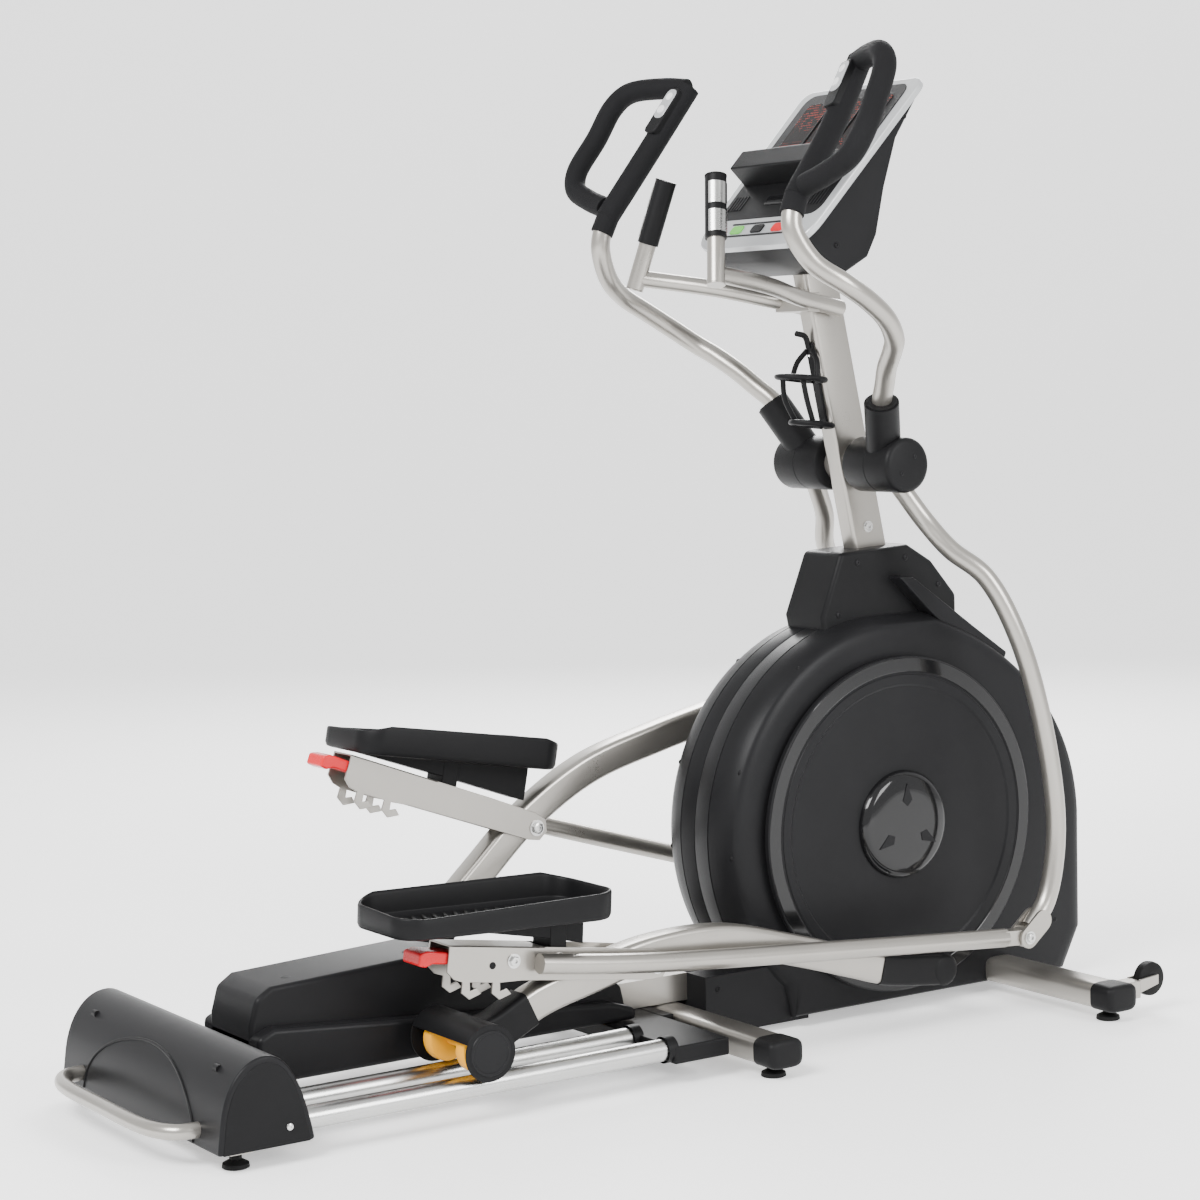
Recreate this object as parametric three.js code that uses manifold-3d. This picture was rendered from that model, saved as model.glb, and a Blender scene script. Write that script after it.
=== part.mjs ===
// Elliptical trainer: flywheel housing and mast in front, roller rails behind, two pedal links between.
// Millimetres. +X is the user's right, +Y is forward, +Z is up. Shapes are drawn with y = 0 at the crank
// axle and z = 0 on the floor; the whole group is then moved so the origin sits mid-length on the floor.
import * as THREE from "three";
import { mergeVertices } from "three/addons/utils/BufferGeometryUtils.js";
import Module from "manifold-3d";

const wasm = await Module();
wasm.setup();

// ---- Driving dimensions ----
const GAP = 0.4; // between neighbouring solids
const LOOSE = 1.6; // around a bent tube that passes through a sleeve
const FRONT_END = 482; // front of the housing
const REAR_END = -1573; // back of the carry handle
const HALF_WIDTH = 445; // front stabiliser, centre to tip

const CRANK = { z: 355, radius: 254, angle: -0.02, pinRadius: 14, axleRadius: 15 };
const RAIL_ARM = { length: 1016, x: 223, halfWidth: 24, halfHeight: 28 };
const ROLLER = { radius: 38, z: 120, axleRadius: 8, width: 30, lift: 2 }; // lift: daylight over the rail
const PIVOT = { u: 648, v: 90, boltRadius: 8 }; // link pivot, measured along and above the rail arm
const LINK = { length: 812, x: 276, tubeRadius: 17.5, plateInner: 190, plateOuter: 256, plateThickness: 4 };
const SWING = { y: -15, z: 1024, clevisY: 172, clevisZ: -878, tubeRadius: 18.5, axleRadius: 12 };
const HUB = { inner: 38, outer: 173, radius: 51, sleeveRadius: 32 };
const MAST = { halfWidth: 20, halfDepth: 38.8, footY: 179, footZ: 121, topY: -93, topZ: 1395 };
const RAIL = { inner: 172, outer: 276, radius: 19, rear: -1392, front: -650 };
const STABILISER = {
  halfDepth: 34, halfHeight: 24, z: 45, rearY: -1455, midY: -475, frontY: 250, rearHalf: 285, midHalf: 385 };
const BEAM = { halfWidth: 30, top: 120, bottom: 70.5, rear: -1445, front: 420 };
const FOOT = { radius: 22, pad: 12, stem: 5, inset: 42, rearInset: 22 };
const HOUSING = { rearRadius: 388, halfWidth: 106, bevel: 50, wall: 4, bottom: 16 };
const DISC = { radius: 313, inner: 113, outer: 126, capRadius: 100, capOuter: 139 };
const PULLEY = { radius: 150, x: 45, halfWidth: 9, smallRadius: 30 };
const FLYWHEEL = { y: 318, z: 300, radius: 120, x: -62, halfWidth: 22, axleRadius: 10 };
const CONSOLE = { y: -249, z: 1427, tilt: 0.8151, halfWidth: 174, length: 412, faceThickness: 14 };
const FOAM_RADIUS = 22;
const WHEEL = { radius: 32, halfWidth: 11, y: 352, z: 62, x: 404 };

// ---- Materials ----
const material = (color, roughness, metalness) =>
  new THREE.MeshStandardMaterial({ color, roughness, metalness });
const silverPaint = material(0xc8c5be, 0.4, 0.5);
const steel = material(0xd0d0d0, 0.25, 0.9);
const blackPlastic = material(0x2e2f31, 0.55, 0);
const foam = material(0x26272a, 0.9, 0);
const rubber = material(0x1c1c1e, 0.85, 0);
const redPlastic = material(0xc81e28, 0.4, 0);
const yellowPlastic = material(0xf0a818, 0.45, 0);
const greyPlastic = material(0xb8babd, 0.45, 0.1);
const greenPlastic = material(0x58b83c, 0.45, 0);
const castIron = material(0x55565a, 0.5, 0.7);

const root = new THREE.Group();
root.position.y = -(FRONT_END + REAR_END) / 2;

// ---- Building helpers ----
// Turns the plane of a flat outline (u, v) into (y, z) and its thickness into x.
const SIDE_ON = new THREE.Matrix4().makeBasis(
  new THREE.Vector3(0, 1, 0), new THREE.Vector3(0, 0, 1), new THREE.Vector3(1, 0, 0));

function solid(geometry) {
  const bare = new THREE.BufferGeometry();
  bare.setAttribute("position", geometry.getAttribute("position"));
  if (geometry.index) bare.setIndex(geometry.index);
  const merged = mergeVertices(bare, 1e-3);
  return new wasm.Manifold(new wasm.Mesh({
    numProp: 3,
    vertProperties: merged.attributes.position.array,
    triVerts: new Uint32Array(merged.index.array),
  }));
}

function geometryOf(manifold) {
  const mesh = manifold.getMesh();
  const geometry = new THREE.BufferGeometry();
  geometry.setAttribute("position", new THREE.BufferAttribute(mesh.vertProperties, 3));
  geometry.setIndex(new THREE.BufferAttribute(mesh.triVerts, 1));
  geometry.computeVertexNormals();
  return geometry;
}

const join = (first, ...others) => others.reduce((whole, piece) => whole.add(piece), first);
const cut = (first, ...others) => others.reduce((whole, piece) => whole.subtract(piece), first);

// The biggest of a shape's separate bodies, leaving out crumbs of a cut.
const largest = (shape) => shape.decompose().sort((a, b) => b.volume() - a.volume())[0];

function add(name, shape, finish, parent = root) {
  const mesh = new THREE.Mesh(geometryOf(shape), finish);
  mesh.name = name;
  parent.add(mesh);
}

function box(xRange, yRange, zRange) {
  const size = [xRange, yRange, zRange].map(([low, high]) => high - low);
  const middle = [xRange, yRange, zRange].map(([low, high]) => (low + high) / 2);
  return solid(new THREE.BoxGeometry(...size).translate(...middle));
}

// A flat outline in (y, z), as a slab between two x positions.
function slab(outline, x0, x1) {
  const shape = outline instanceof THREE.Shape ? outline : new THREE.Shape(
    outline.map(([y, z]) => new THREE.Vector2(y, z)));
  const geometry = new THREE.ExtrudeGeometry(shape, {
    depth: x1 - x0, bevelEnabled: false, curveSegments: 8 });
  return solid(geometry.applyMatrix4(SIDE_ON).translate(x0, 0, 0));
}

// A straight round bar between two points.
function bar(from, to, radius, sides = 20, endRadius = radius) {
  const start = new THREE.Vector3(...from);
  const along = new THREE.Vector3(...to).sub(start);
  const geometry = new THREE.CylinderGeometry(endRadius, radius, along.length(), sides);
  geometry.translate(0, along.length() / 2, 0);
  const turn = new THREE.Quaternion().setFromUnitVectors(
    new THREE.Vector3(0, 1, 0), along.clone().normalize());
  return solid(geometry.applyQuaternion(turn).translate(...from));
}

// A round bar lying across the machine.
const axle = (x0, x1, y, z, radius, sides = 20) => bar([x0, y, z], [x1, y, z], radius, sides);

// A round tube through a list of points, bent on smooth curves.
function tube(points, radius, steps = 20, sides = 12) {
  const path = new THREE.CatmullRomCurve3(
    points.map((point) => new THREE.Vector3(...point)), false, "centripetal");
  const section = new THREE.Shape().absarc(0, 0, radius, 0, 2 * Math.PI);
  return solid(new THREE.ExtrudeGeometry(section, {
    steps, curveSegments: sides / 2, extrudePath: path, bevelEnabled: false,
  }));
}

// The outline of a strip that follows a curve, as wide as given on each side of it.
function strip(points, halfHeight, divisions) {
  const curve = new THREE.SplineCurve(points.map(([y, z]) => new THREE.Vector2(y, z)));
  const upper = [];
  const lower = [];
  for (let i = 0; i <= divisions; i++) {
    const centre = curve.getPoint(i / divisions);
    const along = curve.getTangent(i / divisions);
    upper.push([centre.x - along.y * halfHeight, centre.y + along.x * halfHeight]);
    lower.push([centre.x + along.y * halfHeight, centre.y - along.x * halfHeight]);
  }
  return [...upper, ...lower.reverse()];
}

// An oval with flattened sides, as an outline in (y, z).
function oval(y, z, halfDepth, halfHeight) {
  const points = [];
  for (let i = 0; i < 20; i++) {
    const turn = (i * Math.PI) / 10;
    const bulge = (value) => Math.sign(value) * Math.sqrt(Math.abs(value));
    points.push([y + halfDepth * bulge(Math.cos(turn)), z + halfHeight * bulge(Math.sin(turn))]);
  }
  return points;
}

// ---- Linkage ----
// Where two circles in the (y, z) plane cross, on the forward side.
function crossing(a, ra, b, rb) {
  const between = new THREE.Vector2().subVectors(b, a);
  const distance = between.length();
  const along = (ra * ra - rb * rb + distance * distance) / (2 * distance);
  const offset = Math.sqrt(ra * ra - along * along);
  const unit = between.divideScalar(distance);
  return new THREE.Vector2(a.x + unit.x * along - unit.y * offset, a.y + unit.y * along + unit.x * offset);
}

// Positions of the pins of one side's linkage: sign is +1 on the side whose crank is down.
function linkage(sign) {
  const pin = new THREE.Vector2(
    sign * CRANK.radius * Math.sin(CRANK.angle), CRANK.z - sign * CRANK.radius * Math.cos(CRANK.angle));
  const drop = ROLLER.z - pin.y;
  const roller = new THREE.Vector2(pin.x - Math.sqrt(RAIL_ARM.length ** 2 - drop ** 2), ROLLER.z);
  const armTurn = Math.atan2(pin.y - roller.y, pin.x - roller.x);
  const pivot = new THREE.Vector2(-PIVOT.u, PIVOT.v).rotateAround(new THREE.Vector2(), armTurn).add(pin);
  const hub = new THREE.Vector2(SWING.y, SWING.z);
  const swingRadius = Math.hypot(SWING.clevisY, SWING.clevisZ);
  const clevis = crossing(hub, swingRadius, pivot, LINK.length);
  const linkTurn = Math.atan2(clevis.y - pivot.y, clevis.x - pivot.x);
  const restTurn = Math.atan2(SWING.clevisY, -SWING.clevisZ);
  const swingTurn = Math.atan2(clevis.x - hub.x, hub.y - clevis.y) - restTurn;
  return { pin, armTurn, clevis, linkTurn, swingTurn };
}

// ---- Base frame ----
function levellingFoot(x, y, top) {
  return join(
    bar([x, y, 0], [x, y, FOOT.pad], FOOT.radius, 16, FOOT.radius - 4),
    bar([x, y, FOOT.pad - 1], [x, y, top], FOOT.stem, 8));
}

const footHole = (x, y) => bar([x, y, 0], [x, y, STABILISER.z + 5], FOOT.stem + 1, 10);

function baseFrame() {
  const beam = join(
    box([-BEAM.halfWidth, BEAM.halfWidth], [BEAM.rear, BEAM.front], [BEAM.bottom, BEAM.top]),
    box([-STABILISER.rearHalf, STABILISER.rearHalf],
      [STABILISER.rearY - 20, STABILISER.rearY + 20], [BEAM.bottom - 45, BEAM.bottom + 5]));
  const rows = [
    { name: "rear", y: STABILISER.rearY, x: STABILISER.rearHalf - FOOT.rearInset },
    { name: "mid", y: STABILISER.midY, x: STABILISER.midHalf - FOOT.inset },
    { name: "front", y: STABILISER.frontY, x: HALF_WIDTH - FOOT.inset },
  ];
  add("base_beam", cut(beam, ...[-1, 1].map((s) => footHole(s * rows[0].x, rows[0].y))), silverPaint);
  const midY = STABILISER.midY;
  const mid = slab(oval(midY, STABILISER.z, STABILISER.halfDepth, STABILISER.halfHeight),
    -STABILISER.midHalf, STABILISER.midHalf);
  add("mid_stabiliser", cut(mid, ...[-1, 1].map((s) => footHole(s * rows[1].x, midY))), silverPaint);
  const block = join(box([-300, 300], [RAIL.front + GAP, midY - 60], [38, BEAM.bottom - 1]),
    box([-100, 100], [midY - 61, midY - STABILISER.halfDepth - GAP], [38, BEAM.bottom - 1]));
  add("rail_block", block, blackPlastic);
  const frontY = STABILISER.frontY;
  const bracket = (s) => box([s * WHEEL.x - 18, s * WHEEL.x + 18].sort((a, b) => a - b),
    [frontY + 5, WHEEL.y - 36], [STABILISER.z - 12, STABILISER.z + 20]);
  const ears = (s) => [-1, 1].map((e) => slab(
    [[WHEEL.y - 38, WHEEL.z - 20], [WHEEL.y + 9, WHEEL.z - 9], [WHEEL.y + 9, WHEEL.z + 9],
      [WHEEL.y - 38, WHEEL.z + 5]],
    s * WHEEL.x + e * (WHEEL.halfWidth + 4) - 2.5, s * WHEEL.x + e * (WHEEL.halfWidth + 4) + 2.5));
  const pin = (s) => axle(s * WHEEL.x - 16, s * WHEEL.x + 16, WHEEL.y, WHEEL.z, 5, 12);
  const front = join(
    slab(oval(frontY, STABILISER.z, STABILISER.halfDepth, STABILISER.halfHeight), -HALF_WIDTH, HALF_WIDTH),
    ...[-1, 1].flatMap((s) => [bracket(s), ...ears(s), pin(s)]));
  add("front_stabiliser", cut(front, ...[-1, 1].map((s) => footHole(s * rows[2].x, frontY))), silverPaint);
  for (const [side, s] of [["right", 1], ["left", -1]]) {
    for (const row of rows) {
      add(`foot_${row.name}_${side}`, levellingFoot(s * row.x, row.y, STABILISER.z + 4), rubber);
    }
    const tyre = axle(s * WHEEL.x - WHEEL.halfWidth, s * WHEEL.x + WHEEL.halfWidth, WHEEL.y, WHEEL.z,
      WHEEL.radius, 24);
    const bore = axle(s * WHEEL.x - 20, s * WHEEL.x + 20, WHEEL.y, WHEEL.z, 5.5, 12);
    add(`transport_wheel_${side}`, cut(tyre, bore), rubber);
    for (const [place, x] of [["inner", RAIL.inner], ["outer", RAIL.outer]]) {
      const z = ROLLER.z - ROLLER.radius - RAIL.radius - ROLLER.lift;
      const rail = bar([s * x, RAIL.rear, z], [s * x, RAIL.front, z], RAIL.radius, 24);
      add(`rail_${place}_${side}`, rail, steel);
    }
  }
}

// ---- Rear cover, carry handle and centre cover ----
function rearParts() {
  const outer = new THREE.Shape();
  outer.moveTo(-1502, 32);
  outer.lineTo(-1497, 70);
  outer.bezierCurveTo(-1490, 140, -1455, 178, -1415, 177);
  outer.bezierCurveTo(-1375, 175, -1352, 120, -1336, 38);
  outer.lineTo(-1336, 32);
  const inner = new THREE.Shape();
  inner.moveTo(-1496, 10);
  inner.lineTo(-1492, 70);
  inner.bezierCurveTo(-1485, 135, -1452, 172, -1415, 171);
  inner.bezierCurveTo(-1380, 169, -1360, 120, -1342, 34);
  inner.lineTo(-1342, 10);
  const railSlots = [-1, 1].flatMap((s) => [RAIL.inner, RAIL.outer].map((x) =>
    box([s * x - 21, s * x + 21], [-1400, -1330], [10, 84])));
  add("rear_cover", cut(slab(outer, -302, 302), slab(inner, -296, 296), ...railSlots,
    box([-31, 31], [-1400, -1330], [10, BEAM.top + GAP]),
    ...[-1, 1].map((s) => box([s * 222 - 16, s * 222 + 16], [-1510, -1480], [10, 78]))), blackPlastic);
  const handleZ = 58;
  add("carry_handle", tube([
    [-222, -1477, handleZ], [-222, -1500, handleZ], [-215, -1530, handleZ], [-175, -1553, handleZ],
    [0, -1560, handleZ], [175, -1553, handleZ], [215, -1530, handleZ], [222, -1500, handleZ],
    [222, -1477, handleZ]], 13, 22, 8), silverPaint);
  const roof = [
    [-1330, 72], [-1330, 165], [-1318, 208], [-1290, 226], [-980, 240], [-900, 222], [-640, 148],
    [-604, 130], [-592, 72]];
  const under = [
    [-1324, 60], [-1324, 165], [-1313, 203], [-1288, 220], [-980, 234], [-902, 216], [-642, 142],
    [-609, 126], [-598, 60]];
  const ledge = [[-1330, 72], [-1330, 150], [-1300, 162], [-640, 108], [-592, 92], [-592, 72]];
  const hollow = [[-1324, 60], [-1324, 145], [-1298, 156], [-642, 102], [-598, 87], [-598, 60]];
  add("centre_cover", cut(join(slab(roof, -76, 76), slab(ledge, -104, 104)),
    slab(under, -70, 70), slab(hollow, -98, 98),
    box([-31, 31], [-1340, -580], [50, BEAM.top + GAP])), blackPlastic);
}

// ---- Mast, with the swing axle, crank bearing and flywheel bracket welded to it ----
function mastOutline(extra) {
  const depth = MAST.halfDepth + extra;
  return [
    [MAST.footY - depth, MAST.footZ], [MAST.footY + depth, MAST.footZ],
    [MAST.topY + depth, MAST.topZ], [MAST.topY - depth, MAST.topZ]];
}

const mastY = (z) => MAST.footY + ((z - MAST.footZ) * (MAST.topY - MAST.footY)) / (MAST.topZ - MAST.footZ);

function mast() {
  const column = slab(mastOutline(0), -MAST.halfWidth, MAST.halfWidth);
  const swingAxle = axle(-166, 166, SWING.y, SWING.z, SWING.axleRadius, 20);
  const collars = axle(-HUB.inner + GAP, HUB.inner - GAP, SWING.y, SWING.z, 30, 20);
  const bearing = join(
    slab([[-8, CRANK.z - 26], [mastY(CRANK.z), CRANK.z - 45], [mastY(CRANK.z), CRANK.z + 45],
      [-8, CRANK.z + 26]], -18, 18),
    axle(-30, 30, 0, CRANK.z, 30, 24));
  const flywheelArm = join(
    slab([[mastY(FLYWHEEL.z), FLYWHEEL.z - 40], [FLYWHEEL.y + 8, FLYWHEEL.z - 20],
      [FLYWHEEL.y + 8, FLYWHEEL.z + 20], [mastY(FLYWHEEL.z), FLYWHEEL.z + 40]], -14, 14),
    axle(-20, 20, FLYWHEEL.y, FLYWHEEL.z, 24, 20));
  const whole = cut(join(column, swingAxle, collars, bearing, flywheelArm),
    axle(-40, 40, 0, CRANK.z, CRANK.axleRadius + 0.5, 24),
    axle(-40, 40, FLYWHEEL.y, FLYWHEEL.z, FLYWHEEL.axleRadius + 0.5, 20));
  add("mast", whole, silverPaint);
}

// ---- Crank, drive pulley, belt and flywheel ----
function drive() {
  add("crank_axle", axle(-DISC.inner + GAP, DISC.inner - GAP, 0, CRANK.z, CRANK.axleRadius, 20), steel);
  for (const [side, s] of [["right", 1], ["left", -1]]) {
    const { pin } = linkage(s);
    const pinEnd = RAIL_ARM.x - RAIL_ARM.halfWidth - GAP;
    add(`crank_disc_${side}`, join(
      axle(s * DISC.inner, s * DISC.outer, 0, CRANK.z, DISC.radius, 56),
      axle(s * (DISC.outer - 1), s * DISC.capOuter, 0, CRANK.z, DISC.capRadius, 32),
      axle(s * (DISC.outer - 1), s * pinEnd, pin.x, pin.y, CRANK.pinRadius, 16)), blackPlastic);
  }
  const pulleyX = [PULLEY.x - PULLEY.halfWidth, PULLEY.x + PULLEY.halfWidth];
  add("drive_pulley", cut(axle(...pulleyX, 0, CRANK.z, PULLEY.radius, 48),
    axle(0, 90, 0, CRANK.z, CRANK.axleRadius + 0.3, 20)), blackPlastic);
  const wheel = join(
    axle(FLYWHEEL.x - FLYWHEEL.halfWidth, FLYWHEEL.x + FLYWHEEL.halfWidth, FLYWHEEL.y, FLYWHEEL.z,
      FLYWHEEL.radius, 36),
    axle(FLYWHEEL.x, PULLEY.x + PULLEY.halfWidth + 4, FLYWHEEL.y, FLYWHEEL.z, FLYWHEEL.axleRadius, 20),
    axle(...pulleyX, FLYWHEEL.y, FLYWHEEL.z, PULLEY.smallRadius, 28));
  add("flywheel", wheel, castIron);
  add("drive_belt", cut(beltLoop(6, pulleyX), beltLoop(LOOSE, [pulleyX[0] - 5, pulleyX[1] + 5])), rubber);
}

// The outline that wraps both pulleys at a height above their rims, as a slab.
function beltLoop(height, xRange) {
  const distance = Math.hypot(FLYWHEEL.y, FLYWHEEL.z - CRANK.z);
  const heading = Math.atan2(FLYWHEEL.z - CRANK.z, FLYWHEEL.y);
  const spread = Math.acos((PULLEY.radius - PULLEY.smallRadius) / distance);
  const shape = new THREE.Shape();
  shape.absarc(0, CRANK.z, PULLEY.radius + height, heading + spread, heading - spread + 2 * Math.PI);
  shape.absarc(FLYWHEEL.y, FLYWHEEL.z, PULLEY.smallRadius + height, heading - spread, heading + spread);
  const geometry = new THREE.ExtrudeGeometry(shape, {
    depth: xRange[1] - xRange[0] - 2, bevelEnabled: false, curveSegments: 11 });
  return solid(geometry.applyMatrix4(SIDE_ON).translate(xRange[0] + 1, 0, 0));
}

// ---- Housing shells and mast shroud ----
// The side outline of the housing, drawn inside its rounded edge by the given inset.
function housingOutline(inset) {
  const radius = HOUSING.rearRadius - inset;
  const bottom = HOUSING.bottom + inset * 0.3;
  const start = -Math.asin((CRANK.z - bottom - 60) / radius);
  const shape = new THREE.Shape();
  shape.moveTo(-240, bottom);
  shape.absarc(0, CRANK.z, radius, Math.PI - start, Math.PI / 2, true);
  shape.lineTo(110, CRANK.z + radius);
  shape.bezierCurveTo(250, 700 - inset, 470 - inset, 560, FRONT_END - inset, 330);
  shape.lineTo(FRONT_END - inset, 100);
  shape.lineTo(440 - inset, bottom);
  shape.lineTo(-240, bottom);
  return shape;
}

function roundedCase(inset) {
  const bevel = HOUSING.bevel;
  const half = HOUSING.halfWidth - inset;
  const geometry = new THREE.ExtrudeGeometry(housingOutline(bevel + inset), {
    depth: 2 * (half - bevel), bevelEnabled: true, bevelThickness: bevel, bevelSize: bevel,
    bevelSegments: 2, curveSegments: 8,
  });
  return solid(geometry.applyMatrix4(SIDE_ON).translate(-(half - bevel), 0, 0));
}

function housing() {
  const openings = [
    axle(-200, 200, 0, CRANK.z, 24, 24),
    box([-31, 31], [-500, 600], [BEAM.bottom - GAP, BEAM.top + GAP]),
    box([-200, 200], [STABILISER.frontY - 36, STABILISER.frontY + 36], [0, BEAM.bottom + 1]),
    slab([[-60, 700], [95, 700], [95, 900], [-60, 900]], -45, 45),
    box([-82, 82], [-420, 215], [0, 60]),
  ];
  const skirt = (inset) => box([-88 + inset, 88 - inset], [-432 + inset, -200], [12 + inset, 120 - inset]);
  const outer = join(roundedCase(0), skirt(0));
  const shell = cut(outer, roundedCase(HOUSING.wall), skirt(HOUSING.wall), ...openings);
  add("housing_right", shell.intersect(box([GAP / 2, 200], [-600, 600], [0, 900])), blackPlastic);
  add("housing_left", shell.intersect(box([-200, -GAP / 2], [-600, 600], [0, 900])), blackPlastic);
  const outside = [[-130, 690], [-82, 862], [78, 870], [136, 836], [196, 768], [196, 690]];
  const inside = [[-124, 680], [-77, 857], [75, 865], [132, 832], [191, 765], [191, 680]];
  const shroud = cut(slab(outside, -58, 58), slab(inside, -53, 53),
    roundedCase(-GAP), slab(mastOutline(GAP), -MAST.halfWidth - GAP, MAST.halfWidth + GAP));
  add("mast_shroud", shroud, blackPlastic);
}

// ---- Console on the mast, drawn flat and tilted as one group ----
function consoleParts() {
  const group = new THREE.Group();
  group.position.set(0, CONSOLE.y, CONSOLE.z);
  group.rotation.x = CONSOLE.tilt;
  root.add(group);
  const w = CONSOLE.halfWidth;
  const length = CONSOLE.length;
  const face = new THREE.Shape();
  face.moveTo(-w + 60, 0);
  face.lineTo(w - 60, 0);
  face.quadraticCurveTo(w - 8, 4, w - 6, 60);
  face.lineTo(w, length - 30);
  face.quadraticCurveTo(w, length, w - 30, length);
  face.lineTo(-w + 30, length);
  face.quadraticCurveTo(-w, length, -w, length - 30);
  face.lineTo(-w + 6, 60);
  face.quadraticCurveTo(-w + 8, 4, -w + 60, 0);
  const plate = new THREE.ExtrudeGeometry(face, {
    depth: CONSOLE.faceThickness, bevelEnabled: false, curveSegments: 6 });
  const keys = [
    { name: "start_key", x: -62, finish: greenPlastic }, { name: "level_rocker", x: 0, finish: blackPlastic },
    { name: "stop_key", x: 62, finish: redPlastic }];
  const keySize = { x: 17, y: 10, low: 34 };
  const pocket = (key, extra, z0, z1) => box([key.x - keySize.x - extra, key.x + keySize.x + extra],
    [keySize.low - extra, keySize.low + 2 * keySize.y + extra], [z0, z1]);
  const ledge = box([-118, 118], [150, 158], [-2, 34]);
  add("console_face", cut(join(solid(plate.translate(0, 0, -CONSOLE.faceThickness)), ledge),
    ...keys.map((key) => pocket(key, 0.6, -7, 5))), greyPlastic, group);
  for (const key of keys) add(key.name, pocket(key, 0, -3.4, 2.5), key.finish, group);
  const back = [
    [12, -CONSOLE.faceThickness - GAP], [404, -CONSOLE.faceThickness - GAP], [396, -26], [300, -42],
    [215, -82], [140, -126], [96, -138], [40, -120], [8, -50]];
  const block = join(
    slab(back, -150, 150),
    slab([[60, -60], [60, -130], [100, -148], [200, -104], [260, -50]], -90, 90));
  const mastClear = solid(new THREE.BufferGeometry().copy(geometryOf(
    slab(mastOutline(1), -MAST.halfWidth - 1, MAST.halfWidth + 1)))
    .applyMatrix4(new THREE.Matrix4().makeTranslation(0, -CONSOLE.y, -CONSOLE.z))
    .applyMatrix4(new THREE.Matrix4().makeRotationX(-CONSOLE.tilt)));
  add("console_back", cut(block, mastClear), blackPlastic, group);
}

// ---- Fixed handlebar with pulse grips, and the bottle cage ----
function handlebar() {
  const foot = { x: 126, y: -406, z: 1356 };
  const top = { x: 76, y: -366, z: 1548 };
  const at = (t, s) => [
    s * (foot.x + (top.x - foot.x) * t), foot.y + (top.y - foot.y) * t, foot.z + (top.z - foot.z) * t];
  const halves = [1, -1].flatMap((s) => [
    tube([[s * 120, -398, 1374], [s * 82, -255, 1353], [s * 48, -160, 1332], [s * 38.5, -60, 1312]],
      15, 8, 10),
    bar(at(0, s), at(0.95, s), 15.5, 14)]);
  const collarY = mastY(1322) - MAST.halfDepth;
  const collar = box([-52, 52], [collarY - 30, collarY - 6], [1308, 1340]);
  const mastRoom = slab(mastOutline(GAP), -MAST.halfWidth - GAP, MAST.halfWidth + GAP);
  const grips = [1, -1].map((s) => bar(at(0.42, s), at(1, s), 19.5, 16));
  const stem = [1, -1].map((s) => bar(at(0.3, s), at(0.955, s), 15.5 + GAP, 14));
  add("fixed_handlebar", cut(join(...halves, collar), mastRoom), silverPaint);
  add("pulse_grip_right", cut(grips[0], stem[0]), blackPlastic);
  add("pulse_grip_left", cut(grips[1], stem[1]), blackPlastic);
}

function bottleCage() {
  const rear = (z) => mastY(z) - MAST.halfDepth - GAP;
  const spine = slab([[rear(1092), 1092], [rear(1250), 1250], [rear(1250) - 6, 1250], [rear(1092) - 6, 1092]],
    -9, 9);
  const hoop = (z, reach, half) => tube([
    [-6, rear(z) - 5.5, z], [-half, rear(z) - 12, z + 2], [-half, rear(z) - reach * 0.7, z + 8],
    [0, rear(z) - reach, z + 10], [half, rear(z) - reach * 0.7, z + 8], [half, rear(z) - 12, z + 2],
    [6, rear(z) - 5.5, z]], 4.5, 12, 6);
  const strut = (s) => bar([s * 30, rear(1180) - 58, 1187], [s * 26, rear(1095) - 50, 1104], 4, 6);
  const floorBar = bar([-30, rear(1095) - 50, 1104], [30, rear(1095) - 50, 1104], 4, 6);
  const neck = rear(1245);
  const hook = tube([[0, neck - 5.5, 1240], [0, neck - 14, 1262], [0, neck - 34, 1268]], 4, 6, 6);
  const hoops = join(hoop(1180, 86, 38), hoop(1095, 74, 34));
  add("bottle_cage", join(spine, hoops, strut(1), strut(-1), floorBar, hook), blackPlastic);
}

// ---- Swing arms: hub, upper tube with foam grip, lower tube with clevis ----
const UPPER_TUBE = [
  [118, -22, 40], [140, -37, 80], [160, -50, 117], [192, -69, 148], [224, -89, 179], [266, -110, 210],
  [294, -129, 230], [322, -170, 265], [333, -222, 299], [332, -269, 326], [310, -318, 362], [291, -346, 417],
  [287, -345, 443], [284, -335, 470], [282, -322, 495]];
const LOWER_TUBE = [
  [122, 8, -26], [132, 28, -58], [150, 56, -105], [188, 84, -158], [230, 131, -209], [264, 183, -330],
  [275, 240, -540], [275, 257, -700], [275, 232, -815], [275, 192, -864]];
const GRIP_MAIN = [[284, -334, 474], [272, -243, 594], [249, -160, 715]];
const GRIP_LOOP = [
  [250, -163, 712], [300, -181, 718], [372, -213, 714], [402, -230, 690], [415, -262, 632], [427, -303, 568],
  [412, -317, 536], [360, -322, 512], [300, -324, 494]];

// Room in the hub for one end of a tube, starting a little before the tube does.
function sleeveRoom(points) {
  const [first, second] = points;
  const before = first.map((value, i) => value + (value - second[i]) * 0.2);
  return tube([before, ...points.slice(0, 5)], SWING.tubeRadius + LOOSE, 8, 10);
}

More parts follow.
